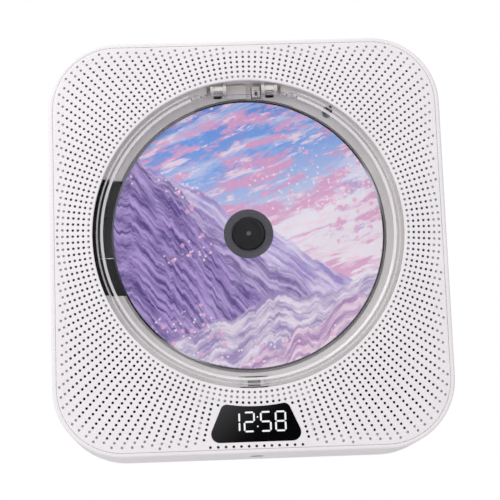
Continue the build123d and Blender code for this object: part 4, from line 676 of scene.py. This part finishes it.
class Finishes(Enum):
    """Every finish on the player."""

    # Moulded ABS, fine spark-eroded texture: satin white with a faint cool drift.
    CASE_ABS = Finish("moulded ABS, satin white", "F3F1F2", "EFEDEF", 0.34, 1.53, grain_mm=0.5, grain_height_mm=0.004)
    # Moulded ABS, polished mould: white plastic whose base is greyed in the well as painted shade of the deep recess;
    # it is also a little shinier.
    WELL_ABS_PAINTED_SHADE = Finish("moulded ABS, white with painted well shade", "DAD6D4", "D2CECC", 0.22, 1.53, grain_mm=1.2, grain_height_mm=0.004)
    # Moulded ABS, black: deck and frames, dull with a soft sheen.
    BLACK_ABS = Finish("moulded ABS, black", "161619", "1D1D21", 0.42, 1.53, grain_mm=0.4, grain_height_mm=0.01)
    # Acetal: waxy off-white gears.
    ACETAL = Finish("moulded acetal, natural", "ECEAE2", "E2DFD5", 0.38, 1.48, mottle_mm=8, grain_height_mm=0.004)
    # Clear polystyrene lid: polished, faintly cool.
    LID_CLEAR = Clear("moulded clear polystyrene", "FBFCFF", "FFFFFF", 0.015, 1.57, gloss_spread=0.012, mottle_mm=18)
    # The lid's inner slope and outer round mix white diffuse into the clear plastic as painted highlight: pale bands
    # standing in for light gathered from the side.
    LID_SLOPE_PAINTED_HIGHLIGHT = Clear("clear polystyrene, slope with painted highlight", "FBFCFF", "F8F8F8", 0.015, 1.57, mottle_mm=18, painted_highlight=0.62)
    LID_ROUND_PAINTED_HIGHLIGHT = Clear("clear polystyrene, round with painted highlight", "FBFCFF", "F8F8F8", 0.015, 1.57, mottle_mm=18, painted_highlight=0.34)
    LENS_GLASS = Clear("ground glass, bluish coating", "B9CCE6", "FFFFFF", 0.01, 1.52, gloss_spread=0.005)
    # Hard-coated acrylic window: deep black with a mirror-like face.
    WINDOW_ACRYLIC = Finish(
        "hard-coated acrylic, black", "060607", "09090B", 0.035, 1.53, coat=0.6, grain_mm=6, grain_height_mm=0.0008,
        gloss_spread=0.012,
    )
    # Light pipes of the numerals: white with the faintest blue.
    NUMERAL_LIGHT = Lit("light pipe, white", "F2F6FF", "FFFFFF", 0.4, mottle_mm=3)
    DISC = DiscBody("polycarbonate disc, metal layer", "DCDDE6", "FFFFFF", 0.05, 1.58)
    PICTURE = PrintedPicture(
        "screen print, varnished", "CFC4EA", "CFC4EA", 0.26, 1.5, coat=0.25, grain_mm=0.8, grain_height_mm=0.0015
    )
    # Zinc-plated steel cans: cool grey with drawing lines.
    ZINC = Turned("drawn steel, zinc plated", "A8ABB0", "B9BCC1", 0.34, metallic=1.0, grain_height_mm=0.006)
    # Ground stainless steel shafts and rods.
    STAINLESS = Turned("stainless steel, ground", "C9CACC", "D6D7D9", 0.2, metallic=1.0, grain_height_mm=0.003)
    # Nickel-plated socket shells.
    NICKEL = Turned("stamped steel, nickel plated", "C7C5BF", "D3D1CB", 0.25, metallic=1.0, grain_height_mm=0.003)
    # Tumbled nickel plate: soft grey without reflections.
    SATIN_NICKEL = Turned("stamped steel, satin nickel", "B9B8B6", "C4C3C1", 0.62, metallic=0.7, grain_height_mm=0.004)
    # Black oxide screws: dark, slightly oily.
    BLACK_OXIDE = Turned("steel screw, black oxide", "303034", "3B3B40", 0.36, metallic=1.0, grain_height_mm=0.006)
    # Sintered ferrite: dark grey and grainy.
    FERRITE = Finish("sintered ferrite", "3C3C40", "4A4A4E", 0.62, 2.0, mottle_mm=5, grain_mm=0.3, grain_height_mm=0.03)
    # Moulded rubber: dark and matt.
    RUBBER = Finish("moulded rubber, dark", "202022", "29292B", 0.78, 1.52, grain_mm=0.5, grain_height_mm=0.02)
    PAD_RUBBER = Finish("moulded silicone, grey", "77787B", "83848A", 0.7, 1.43, grain_mm=0.8, grain_height_mm=0.02)
    # Needled felt: dull grey fibres, drawn as coarse as they need to show.
    FELT = Finish("needled felt, grey", "5C5B64", "4C4B53", 0.95, 1.4, mottle_mm=4, grain_mm=0.35, grain_height_mm=0.12)
    # Pressed paper: black, softly fibrous.
    PAPER = Finish("pressed paper pulp, black", "1B1B1D", "262628", 0.85, 1.45, grain_mm=0.7, grain_height_mm=0.06)
    # Solder mask over glass fibre.
    BOARD = FibreBoard("glass-fibre board, green mask", "1D5A3B", "236646", 0.3, 1.55, grain_height_mm=0.035)
    # Moulded epoxy packages.
    EPOXY = Finish("moulded epoxy, black", "1C1C1E", "242427", 0.55, 1.55, grain_mm=0.3, grain_height_mm=0.01)


FINISH_OF_NODE: dict[Finishes, tuple[str, ...]] = {
    Finishes.CASE_ABS: (
        "housing", "front_grille", "rear_cover", "key_power", "key_previous", "key_play", "key_next",
        "key_volume_down", "key_volume_up",
    ),
    # The well and the lid switch body take the white plastic with its painted shade.
    Finishes.WELL_ABS_PAINTED_SHADE: ("disc_well", "lid_switch_body"),
    Finishes.BLACK_ABS: (
        "deck_plate", "turntable_hub", "pickup_sled", "speaker_frame_left", "speaker_frame_right",
        "display_module", "remote_sensor", "lid_switch_plunger", "headphone_jack", "aux_jack",
    ),
    Finishes.ACETAL: ("sled_rack", "idler_gear", "motor_pinion", "lid_hinge_pins"),
    Finishes.LID_CLEAR: ("lid",),
    Finishes.LENS_GLASS: ("objective_lens",),
    Finishes.WINDOW_ACRYLIC: ("display_window",),
    Finishes.NUMERAL_LIGHT: ("display_segments",),
    Finishes.DISC: ("disc",),
    Finishes.PICTURE: ("disc_label",),
    Finishes.ZINC: ("spindle_motor", "sled_motor", "pocket_screw"),
    Finishes.SATIN_NICKEL: ("lid_keeper",),
    Finishes.STAINLESS: (
        "guide_rods", "idler_axle", "spindle_shaft", "sled_motor_shaft", "chucking_balls",
    ),
    Finishes.NICKEL: ("usb_c_inlet", "usb_a_port"),
    Finishes.BLACK_OXIDE: (
        "rear_screws", "well_screws", "deck_screws", "speaker_screws", "board_screws", "key_board_screws",
    ),
    Finishes.FERRITE: ("speaker_magnet_left", "speaker_magnet_right", "catch_magnet"),
    Finishes.RUBBER: ("deck_dampers",),
    Finishes.PAD_RUBBER: ("wall_pads",),
    Finishes.FELT: ("baffle_lining",),
    Finishes.PAPER: ("speaker_cone_left", "speaker_cone_right"),
    Finishes.BOARD: ("main_board", "key_board"),
    Finishes.EPOXY: ("board_chips", "key_switches"),
}


# ---------------------------------------------------------------- pieces
@dataclass
class PerforatedFront:
    """The front plate: a rounded square with a round opening, a window and rings of holes.

    All sizes are in mm.
    """

    width: float = 168.24
    height: float = 177.24
    corner: float = 28.12
    thick: float = 1.5
    edge_round: float = 0.3
    opening: float = 67.8
    first_ring: float = 69.5
    ring_pitch: float = 2.225
    rays: int = 180
    rings: int = 24
    hole_radius: float = 0.6
    hole_sides: int = 12
    edge_margin: float = 1.2
    window_margin: float = 1.35
    window_top_radius: float = 75.4
    window_top_half: float = 13.9
    window_bottom_half: float = 21.1
    window_bottom: float = -90.5
    window_corners: tuple[float, float] = (2.7, 3.7)

    def rim(self, inset: float, steps: int = 24) -> np.ndarray:
        """Rounded outline, anticlockwise seen from the front.

        A corner's point is centre + (radius - inset) * (cos a, sin a).

        Args:
            inset: distance inside the plate's edge.
            steps: points on each corner.

        Returns:
            Points (x, z), one per row.
        """
        angle = np.linspace(0, np.pi / 2, steps)[None, :] + np.arange(4)[:, None] * np.pi / 2
        side = np.array([[1, 1], [-1, 1], [-1, -1], [1, -1]], float)
        centre = side * [self.width / 2 - self.corner, self.height / 2 - self.corner]
        ring = np.stack([np.cos(angle), np.sin(angle)], axis=2) * (self.corner - inset)
        return (centre[:, None, :] + ring).reshape(-1, 2) + [0, FACE_CENTRE_Z]

    def circle(self, radius: float, steps: int = 256) -> np.ndarray:
        """Points (radius cos a, radius sin a), anticlockwise.

        Args:
            radius: radius of the circle.
            steps: number of points.

        Returns:
            Points (x, z), one per row.
        """
        angle = np.arange(steps) * 2 * np.pi / steps
        return radius * np.stack([np.cos(angle), np.sin(angle)], axis=1)

    def window(self) -> np.ndarray:
        """Tapered window with rounded corners whose top edge follows the opening.

        The top edge is an arc about the disc's axis, drawn as a run of short chords.

        Returns:
            Points (x, z), anticlockwise.
        """
        lean = math.asin(self.window_top_half / self.window_top_radius)
        sweep = np.linspace(-math.pi / 2 + lean, -math.pi / 2 - lean, 15)
        top = self.window_top_radius * np.stack([np.cos(sweep), np.sin(sweep)], axis=1)
        low = np.array([[-1, self.window_bottom], [1, self.window_bottom]]) * [self.window_bottom_half, 1]
        radii = np.zeros(len(top) + 2)
        radii[[0, 14]], radii[15:] = self.window_corners
        near_corner = np.array([0, *range(3, 12), 14, 15, 16])
        return rounded(np.concatenate([top, low])[near_corner], radii[near_corner])

    def inside(self, x: np.ndarray, z: np.ndarray) -> np.ndarray:
        """Tells which points keep the edge margin.

        In a corner the distance to the corner's centre is tested, elsewhere the larger of
        the two distances past the corner centres.

        Args:
            x: distances to the right.
            z: heights.

        Returns:
            True where a hole fits.
        """
        radius = self.corner - self.edge_margin
        over_x = np.abs(x) - (self.width / 2 - self.corner)
        over_z = np.abs(z - FACE_CENTRE_Z) - (self.height / 2 - self.corner)
        both = (over_x > 0) & (over_z > 0)
        return np.where(both, np.hypot(over_x, over_z), np.maximum(over_x, over_z)) <= radius

    def off_window(self, x: np.ndarray, z: np.ndarray) -> np.ndarray:
        """Tells which points keep clear of the window.

        Args:
            x: distances to the right.
            z: heights.

        Returns:
            True where a hole fits.
        """
        gap = self.window_margin
        top = -math.sqrt(self.window_top_radius**2 - self.window_top_half**2)
        slope = (self.window_bottom_half - self.window_top_half) / (top - self.window_bottom)
        within = np.abs(x) < self.window_top_half + (top - z) * slope + gap
        return ~(within & (z < 0) & (np.hypot(x, z) > self.window_top_radius - gap))

    def hole_centres(self) -> np.ndarray:
        """Rings on straight rays, and one straight row under the window.

        A ring's hole is (first + pitch * ring) * (cos ray, sin ray); the row's holes are
        where the rays cross its height.

        Returns:
            Centres (x, z), one per row.
        """
        ray = np.arange(self.rays) * 2 * np.pi / self.rays
        radius = self.first_ring + self.ring_pitch * np.arange(self.rings)
        x, z = np.outer(np.cos(ray), radius).ravel(), np.outer(np.sin(ray), radius).ravel()
        keep = self.inside(x, z) & self.off_window(x, z)
        row = FACE_CENTRE_Z - self.height / 2 + self.edge_margin
        down = ray[np.sin(ray) < -0.5]
        row_x = row / np.tan(down)
        row_x = row_x[np.abs(row_x) < self.window_bottom_half - self.hole_radius]
        ringed = np.stack([x[keep], z[keep]], axis=1)
        return np.concatenate([ringed, np.stack([row_x, np.full_like(row_x, row)], axis=1)])

    def build(self) -> bpy.types.Object:
        """Builds the plate.

        The face between the loops is filled with triangles once and used for the front and
        for the back; rings of quads make the rounded edges and the walls of the holes.

        Returns:
            The perforated plate.
        """
        centres = self.hole_centres()
        angle = np.arange(self.hole_sides) * 2 * np.pi / self.hole_sides
        polygon = self.hole_radius * np.stack([np.cos(angle), np.sin(angle)], axis=1)
        holes = (centres[:, None, :] + polygon[None, :, :]).reshape(-1, 2)
        loops = [self.rim(self.edge_round), self.circle(self.opening + self.edge_round), self.window()]
        sizes = [len(loop) for loop in loops] + [self.hole_sides] * len(centres)
        flat = np.concatenate([*loops, holes])
        starts = np.concatenate([[0], np.cumsum(sizes)[:-1]])
        owner = np.repeat(np.arange(len(sizes)), sizes)
        number = np.arange(len(flat))
        following = np.where(
            number + 1 < (starts + sizes)[owner], number + 1, starts[owner]
        )
        edges = np.stack([number, following], axis=1)
        result = delaunay_2d_cdt([Vector(p) for p in flat.tolist()], edges.tolist(), [], 1, 1e-7, True)
        source = np.array([ids[0] for ids in result[3]])
        triangles = source[np.array(result[2])]
        loop_of = owner[triangles]
        same = (loop_of[:, 0] == loop_of[:, 1]) & (loop_of[:, 1] == loop_of[:, 2])
        middle = flat[triangles].mean(axis=1)
        above_window = (loop_of[:, 0] == 2) & (np.hypot(*middle.T) < self.window_top_radius)
        triangles = triangles[~same | (loop_of[:, 0] == 0) | above_window]
        a, b, c = flat[triangles[:, 0]], flat[triangles[:, 1]], flat[triangles[:, 2]]
        turn = (b - a)[:, 0] * (c - a)[:, 1] - (b - a)[:, 1] * (c - a)[:, 0]
        triangles = np.where((turn > 0)[:, None], triangles, triangles[:, ::-1])
        back_flat = np.concatenate([self.rim(0), self.circle(self.opening), flat[starts[2] :]])
        count = len(flat)
        points = [in_frame(flat[:, 0], flat[:, 1], 0.0), in_frame(back_flat[:, 0], back_flat[:, 1], self.thick)]
        faces = [triangles, triangles[:, ::-1] + count]
        rim_now, open_now = number[: sizes[0]], number[starts[1] : starts[2]]
        total = 2 * count
        for part in (0.25, 0.5, 0.75, 1.0):
            lean = part * math.pi / 2
            inset, depth = self.edge_round * (1 - math.sin(lean)), self.edge_round * (1 - math.cos(lean))
            for loop, is_rim in ((self.rim(inset), True), (self.circle(self.opening + inset), False)):
                ring = total + np.arange(len(loop))
                points.append(in_frame(loop[:, 0], loop[:, 1], depth))
                total += len(loop)
                if is_rim:
                    faces.append(ring_wall(rim_now, ring))
                    rim_now = ring
                else:
                    faces.append(ring_wall(open_now, ring)[:, ::-1])
                    open_now = ring
        faces.append(ring_wall(rim_now, number[: sizes[0]] + count))
        faces.append(ring_wall(open_now, number[starts[1] : starts[2]] + count)[:, ::-1])
        pierced = np.stack([number, number + count, following + count, following], axis=1)[starts[2] :]
        faces.append(pierced[:, ::-1])
        plate = mesh_object("perforated_front", np.concatenate(points), faces)
        LOG.info("perforated front: %d holes, %d faces", len(centres), len(plate.data.polygons))
        return plate


@dataclass
class ClearLid:
    """The clear lid: a flat plate in a raised rim, with a straight top edge, arms and a tab.

    All sizes are in mm; depths are measured from the front face.
    """

    radius: float = 66.3
    skirt_inside: float = 64.4
    plate: tuple[float, float] = (1.3, 2.8)
    rim_depth: float = 0.7
    rim_round: float = 0.8
    bevel: float = 1.2
    skirt_back: float = 3.6
    chord: float = 61.6
    hinge: tuple[float, float, float] = (64.4, 2.7, 1.7)
    knuckle: tuple[float, float] = (9.6, 13.0)
    tab: tuple[float, float] = (6.5, 67.2)
    steps: int = 720

    def profile(self) -> np.ndarray:
        """Section of the round part: front from the centre outwards, then back again.

        Returns:
            Points (radius, depth); the corners have small rounds that catch the light.
        """
        front, back = self.plate
        corners = np.array(
            [
                [4.0, front],
                [self.skirt_inside - self.bevel, front],
                [self.skirt_inside, self.rim_depth],
                [self.radius, self.rim_depth],
                [self.radius, self.skirt_back],
                [self.skirt_inside, self.skirt_back],
                [self.skirt_inside, back],
                [4.0, back],
            ]
        )
        return rounded(corners, np.array([0, 0.5, 0.2, self.rim_round, 0.15, 0.15, 0.3, 0]), 7)

    def round_part(self) -> tuple[np.ndarray, list[np.ndarray]]:
        """Turns the section about the axis and trims it at the straight edge.

        At an angle a, radii beyond 58 are squeezed so that the outermost meets
        chord / sin(a), and their depths are read off the section at the new radius.

        Returns:
            Points and faces.
        """
        section = self.profile()
        outer = int(np.argmax(section[:, 0] >= self.radius - 1e-6))
        front, back = section[: outer + 1], section[outer + 1 :][::-1]
        corner = math.asin(self.chord / self.radius)
        angle = np.sort([*np.linspace(0, 2 * math.pi, self.steps, endpoint=False), corner, math.pi - corner])
        height = np.maximum(np.sin(angle), 1e-6)
        limit = np.minimum(self.chord / height, self.radius)[:, None]
        keep = section[None, :, 0]
        squeezed = 58 + (keep - 58) * (limit - 58) / (self.radius - 58)
        radius = np.where((keep > 58) & (limit < self.radius), squeezed, keep)
        is_front = np.arange(len(section)) <= outer
        read_front = np.interp(radius, front[:, 0], front[:, 1])
        read_back = np.interp(radius, np.maximum.accumulate(back[:, 0]), back[:, 1])
        depth = np.where(limit < self.radius - 1e-6, np.where(is_front, read_front, read_back), section[None, :, 1])
        flat = in_frame(radius * np.cos(angle)[:, None], radius * np.sin(angle)[:, None], depth)
        count, turns = len(section), len(angle)
        grid = np.arange(turns * count).reshape(turns, count)
        after = np.roll(grid, -1, axis=0)
        walls = np.stack([grid[:, :-1], grid[:, 1:], after[:, 1:], after[:, :-1]], axis=-1).reshape(-1, 4)
        centre = in_frame(np.zeros(2), np.zeros(2), np.array(self.plate))
        hub = np.full(turns, turns * count)
        fans = [
            np.stack([hub, grid[:, 0], after[:, 0]], axis=1),
            np.stack([hub + 1, after[:, -1], grid[:, -1]], axis=1),
        ]
        return np.concatenate([flat, centre]), [walls, *fans]

    def block(self, low: tuple[float, float, float], high: tuple[float, float, float]) -> tuple[np.ndarray, list]:
        """A box between two corners (x, z, depth).

        Args:
            low: least x, z and depth.
            high: greatest x, z and depth.

        Returns:
            Points and faces.
        """
        ends = np.array([low, high]).T
        x, z, depth = np.meshgrid(*ends, indexing="ij")
        faces = np.array(
            [[0, 4, 6, 2], [1, 3, 7, 5], [0, 1, 5, 4], [2, 6, 7, 3], [0, 2, 3, 1], [4, 5, 7, 6]]
        )
        return in_frame(x, z, depth), [faces]

    def barrel(self, left: float, right: float) -> tuple[np.ndarray, list[np.ndarray]]:
        """A round knuckle along X: points (height + r cos a, depth + r sin a).

        Args:
            left: its left end.
            right: its right end.

        Returns:
            Points and faces.
        """
        height, depth, radius = self.hinge
        angle = np.arange(36) * np.pi / 18
        z, d = height + radius * np.cos(angle), depth + radius * np.sin(angle)
        points = np.concatenate([in_frame(np.full(36, left), z, d), in_frame(np.full(36, right), z, d)])
        ring = np.arange(36)
        return points, [ring_wall(ring, ring + 36), ring[None, :], ring[None, ::-1] + 36]

    def build(self) -> bpy.types.Object:
        """Builds the lid from its round part, arms, knuckles, rib, tongue and tab.

        Returns:
            The lid.
        """
        front, back = self.plate
        half, reach = self.tab
        height = self.hinge[0]
        near, far = self.knuckle
        parts = [
            self.round_part(),
            self.block((7.75, 53.0, back + 0.01), (8.25, self.chord, back + 0.6)),
            self.block((4.6, self.chord + 0.01, front), (6.2, 63.3, back)),
            self.block((-half, -reach, 1.5), (half, -66.0, self.skirt_back)),
            self.block((-half, -reach, self.rim_depth), (1 - half, -66.0, 1.49)),
            self.block((half - 1, -reach, self.rim_depth), (half, -66.0, 1.49)),
        ]
        for left, right in ((-far, -near), (near, far)):
            parts.append(self.block((left, self.chord + 0.01, front), (right, height - 1.2, back)))
            parts.append(self.barrel(left, right))
        points, faces, total = [], [], 0
        for some_points, some_faces in parts:
            points.append(some_points)
            faces += [block + total for block in some_faces]
            total += len(some_points)
        made = mesh_object("clear_lid", np.concatenate(points), faces)
        section = self.profile()
        radius, depth = (section[:-1] + section[1:]).T / 2
        # Faces on the inner slope (1) and the outer round (2) take the painted-highlight finishes.
        finish = np.where((depth < front - 0.02) & (radius < self.skirt_inside), 1, 0)
        finish = np.where((radius > self.radius - self.rim_round) & (depth < front + 0.2), 2, finish)
        turned = np.zeros(len(made.data.polygons), dtype=np.int32)
        round_faces = len(parts[0][1][0])
        turned[:round_faces] = np.tile(finish, round_faces // len(finish))
        centre = np.empty(3 * len(turned))
        made.data.polygons.foreach_get("center", centre)
        x, _, z = centre.reshape(-1, 3).T
        # Along the straight top edge the faces stay plain clear, without painted highlight.
        turned[z > np.hypot(x, z) * self.chord / self.radius] = 0
        for kind in (Finishes.LID_CLEAR, Finishes.LID_SLOPE_PAINTED_HIGHLIGHT, Finishes.LID_ROUND_PAINTED_HIGHLIGHT):
            made.data.materials.append(kind.value.material())
        made.data.polygons.foreach_set("material_index", turned)
        return made


@dataclass
class Numerals:
    """The glowing bars of the time shown: prisms with pointed ends, and two round dots.

    All sizes are in mm. A digit's bars are numbered top, middle, bottom, upper left, upper
    right, lower left and lower right.
    """

    pitch: float = 4.1
    height: float = 8.0
    top: float = -78.0
    gap: float = 0.2
    half_thick: float = 0.36
    depths: tuple[float, float] = (0.01, 0.5)
    dots: tuple[float, float] = (0.75, 0.32)
    lit: tuple[tuple[float, tuple[int, ...]], ...] = (
        (-11.1, (4, 6)),
        (-4.85, (0, 4, 1, 5, 2)),
        (2.2, (0, 3, 1, 6, 2)),
        (8.5, (0, 1, 2, 3, 4, 5, 6)),
    )

    def outlines(self) -> list[np.ndarray]:
        """Outlines of all bars and dots, anticlockwise seen from the front.

        A level bar runs from -long to long about its middle, with its ends drawn to a point
        over half its thickness.

        Returns:
            Arrays of (x, z).
        """
        place = np.array([[0.5, 0], [0.5, -0.5], [0.5, -1], [0, -0.25], [1, -0.25], [0, -0.75], [1, -0.75]])
        thick = self.half_thick
        ends = np.array([[-1, 0], [-1, -1], [1, -1], [1, 0], [1, 1], [-1, 1]], float)
        shapes = []
        for left, bars in self.lit:
            for bar in bars:
                level = bar < 3
                long = (self.pitch / 2 if level else self.height / 4) - self.gap
                reach = np.where(ends[:, 1] == 0, long, long - thick)
                shape = np.stack([ends[:, 0] * reach, ends[:, 1] * thick], axis=1)
                shape = shape if level else shape[:, ::-1] * [-1, 1]
                shapes.append(shape + place[bar] * [self.pitch, self.height] + [left, self.top])
        angle = np.arange(20) * np.pi / 10
        across, radius = self.dots
        for share in (0.25, 0.75):
            round_dot = radius * np.stack([np.cos(angle), np.sin(angle)], axis=1)
            shapes.append(round_dot + [across, self.top - share * self.height])
        return shapes

    def build(self) -> bpy.types.Object:
        """Builds the bars and dots.

        Returns:
            The numerals.
        """
        points, faces, total = [], [], 0
        for shape in self.outlines():
            ring = np.arange(len(shape)) + total
            points += [in_frame(*shape.T, np.full(len(shape), depth)) for depth in self.depths]
            faces += [ring_wall(ring, ring + len(shape)), ring[None, :], ring[None, ::-1] + len(shape)]
            total += 2 * len(shape)
        return mesh_object("numerals", np.concatenate(points), faces)


@dataclass
class Studio:
    """Pale floor, soft light and the camera. Distances are in metres."""

    floor_height: float = -0.17
    floor_size: float = 3.0
    camera_place: tuple[float, float, float] = (-0.0205, -0.6285, -0.1022)
    camera_target: tuple[float, float, float] = (0.00013, -0.038, -0.00824)
    camera_roll: float = -2.07
    lens: float = 99.6
    even_light: float = 0.9

    def floor(self) -> bpy.types.Object:
        """Lays the floor: a square grid, flat at floor_height.

        Returns:
            The floor.
        """
        half = self.floor_size / 2
        corners = np.array([[-half, -half], [half, -half], [half, half], [-half, half]])
        points = np.column_stack([corners, np.full(4, self.floor_height)])
        floor = mesh_object("studio_floor", points, [np.array([[0, 1, 2, 3]])])
        paint = Finish("matt studio board", "E2E1E3", "DDDCDE", 0.8, grain_mm=2, grain_height_mm=0.02)
        floor.data.materials.append(paint.material())
        return floor

    def world(self) -> None:
        """Surrounds the studio with light.

        The camera sees plain white, dull surfaces take light that fades from the upper left
        to the lower right, and shiny surfaces reflect a bright left side and ceiling and a
        pale board around a dark front.
        """
        world = bpy.data.worlds.new("studio_white")
        world.use_nodes = True
        tree = world.node_tree
        tree.nodes.clear()
        seen = add(tree, "ShaderNodeBackground", {"Color": WHITE, "Strength": 1.0})
        way = add(tree, "ShaderNodeTexCoord").outputs["Generated"]
        day = self.gradient(tree, way, (-0.5, -0.1, 0.86), [(-0.9, "2A272D"), (0.0, "E9E5E9"), (0.9, "FFFEFD")])
        light = add(tree, "ShaderNodeBackground", {"Strength": self.even_light}, {"Color": day})
        room = self.gradient(
            tree, way, (-0.6, 0.0, 0.5), [(-0.05, "050506"), (0.12, "1A1A1C"), (0.3, "B4B4B6"), (0.5, "F8F8F8")]
        )
        board = self.gradient(
            tree, way, (-1.0, 0.0, 1.2), [(0.0, "000000"), (0.03, "B0B0B0"), (0.055, "FFFFFF"), (0.075, "FFFFFF"), (0.12, "000000")]
        )
        both = add(tree, "ShaderNodeMix", {0: 1.0}, {6: room, 7: board}, data_type="RGBA", blend_type="LIGHTEN")
        shine = add(tree, "ShaderNodeBackground", {"Strength": 0.9}, {"Color": both.outputs[2]})
        path = add(tree, "ShaderNodeLightPath")
        dull = add(
            tree,
            "ShaderNodeMixShader",
            links={0: path.outputs["Is Glossy Ray"], 1: light.outputs[0], 2: shine.outputs[0]},
        )
        mixed = add(
            tree,
            "ShaderNodeMixShader",
            links={0: path.outputs["Is Camera Ray"], 1: dull.outputs[0], 2: seen.outputs[0]},
        )
        add(tree, "ShaderNodeOutputWorld", links={"Surface": mixed.outputs[0]})
        bpy.context.scene.world = world

    def gradient(
        self,
        tree: bpy.types.NodeTree,
        way: bpy.types.NodeSocket,
        direction: tuple[float, float, float],
        stops: list[tuple[float, str]],
    ) -> bpy.types.NodeSocket:
        """Colours the surroundings by dot(way, direction), from -1 to 1.

        Args:
            tree: the node tree.
            way: direction of the ray.
            direction: where the ramp rises.
            stops: dot products and hex colours.

        Returns:
            The colour in each direction.
        """
        lean = add(tree, "ShaderNodeVectorMath", {1: direction}, {0: way}, operation="DOT_PRODUCT")
        place = add(tree, "ShaderNodeMapRange", {"From Min": -1.0}, {"Value": lean.outputs["Value"]})
        halves = [((value + 1) / 2, colour) for value, colour in stops]
        return add(tree, "ShaderNodeValToRGB", links={"Fac": place.outputs["Result"]}, stops=halves).outputs["Color"]

    def lamp(self, name: str, place: tuple[float, float, float], size: float, power: float, colour: str) -> None:
        """Adds a square soft box that faces the player.

        Args:
            name: name of the lamp.
            place: where it stands.
            size: its side.
            power: its power in watts.
            colour: hex tint of its light.
        """
        data = bpy.data.lights.new(name, "AREA")
        data.shape, data.size, data.energy, data.color = "SQUARE", size, power, linear(colour)[:3]
        lamp = bpy.data.objects.new(name, data)
        bpy.context.scene.collection.objects.link(lamp)
        lamp.location = place
        lamp.rotation_mode = "QUATERNION"
        lamp.rotation_quaternion = (-Vector(place)).to_track_quat("-Z", "Y")

    def camera(self) -> None:
        """Sets the camera at the photograph's angle."""
        data = bpy.data.cameras.new("studio_camera")
        data.lens, data.sensor_width, data.clip_start = self.lens, 36.0, 0.01
        camera = bpy.data.objects.new("studio_camera", data)
        bpy.context.scene.collection.objects.link(camera)
        place, target = Vector(self.camera_place), Vector(self.camera_target)
        aim = (target - place).to_track_quat("-Z", "Y").to_matrix().to_4x4()
        roll = Matrix.Rotation(math.radians(self.camera_roll), 4, "Z")
        camera.matrix_world = Matrix.Translation(place) @ aim @ roll
        bpy.context.scene.camera = camera

    def build(self) -> None:
        """Builds the studio and keeps whites as they are."""
        self.floor()
        self.world()
        self.lamp("key_softbox", (-0.5, -0.6, 0.5), 0.45, 2.6, "FFFFFF")
        self.lamp("fill_softbox", (1.1, -1.0, 0.2), 0.8, 1.5, "F4F2FF")
        self.camera()
        bpy.context.scene.view_settings.view_transform = "Standard"


# ---------------------------------------------------------------- the whole player
def dress(frame: dict) -> None:
    """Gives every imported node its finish.
    """
    for finish, names in FINISH_OF_NODE.items():
        made = finish.value.material()
        for name in names:
            mesh = frame["nodes"][name].data
            mesh.materials.clear()
            mesh.materials.append(made)
        LOG.info("%s: %s", made.name, ", ".join(names))


def main() -> None:
    """Builds the player's looks and its studio."""
    logging.basicConfig(level=logging.INFO, format="%(name)s: %(message)s")
    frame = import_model()
    dress(frame)
    plate = PerforatedFront().build()
    plate.data.materials.append(frame["nodes"]["front_grille"].data.materials[0])
    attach(plate, "case")
    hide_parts("front_grille")
    lid = ClearLid().build()
    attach(lid, "lid")
    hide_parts("lid")
    numerals = Numerals().build()
    numerals.data.materials.append(frame["nodes"]["display_segments"].data.materials[0])
    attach(numerals, "case")
    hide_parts("display_segments")
    Studio().build()


if __name__ == "__main__":
    main()
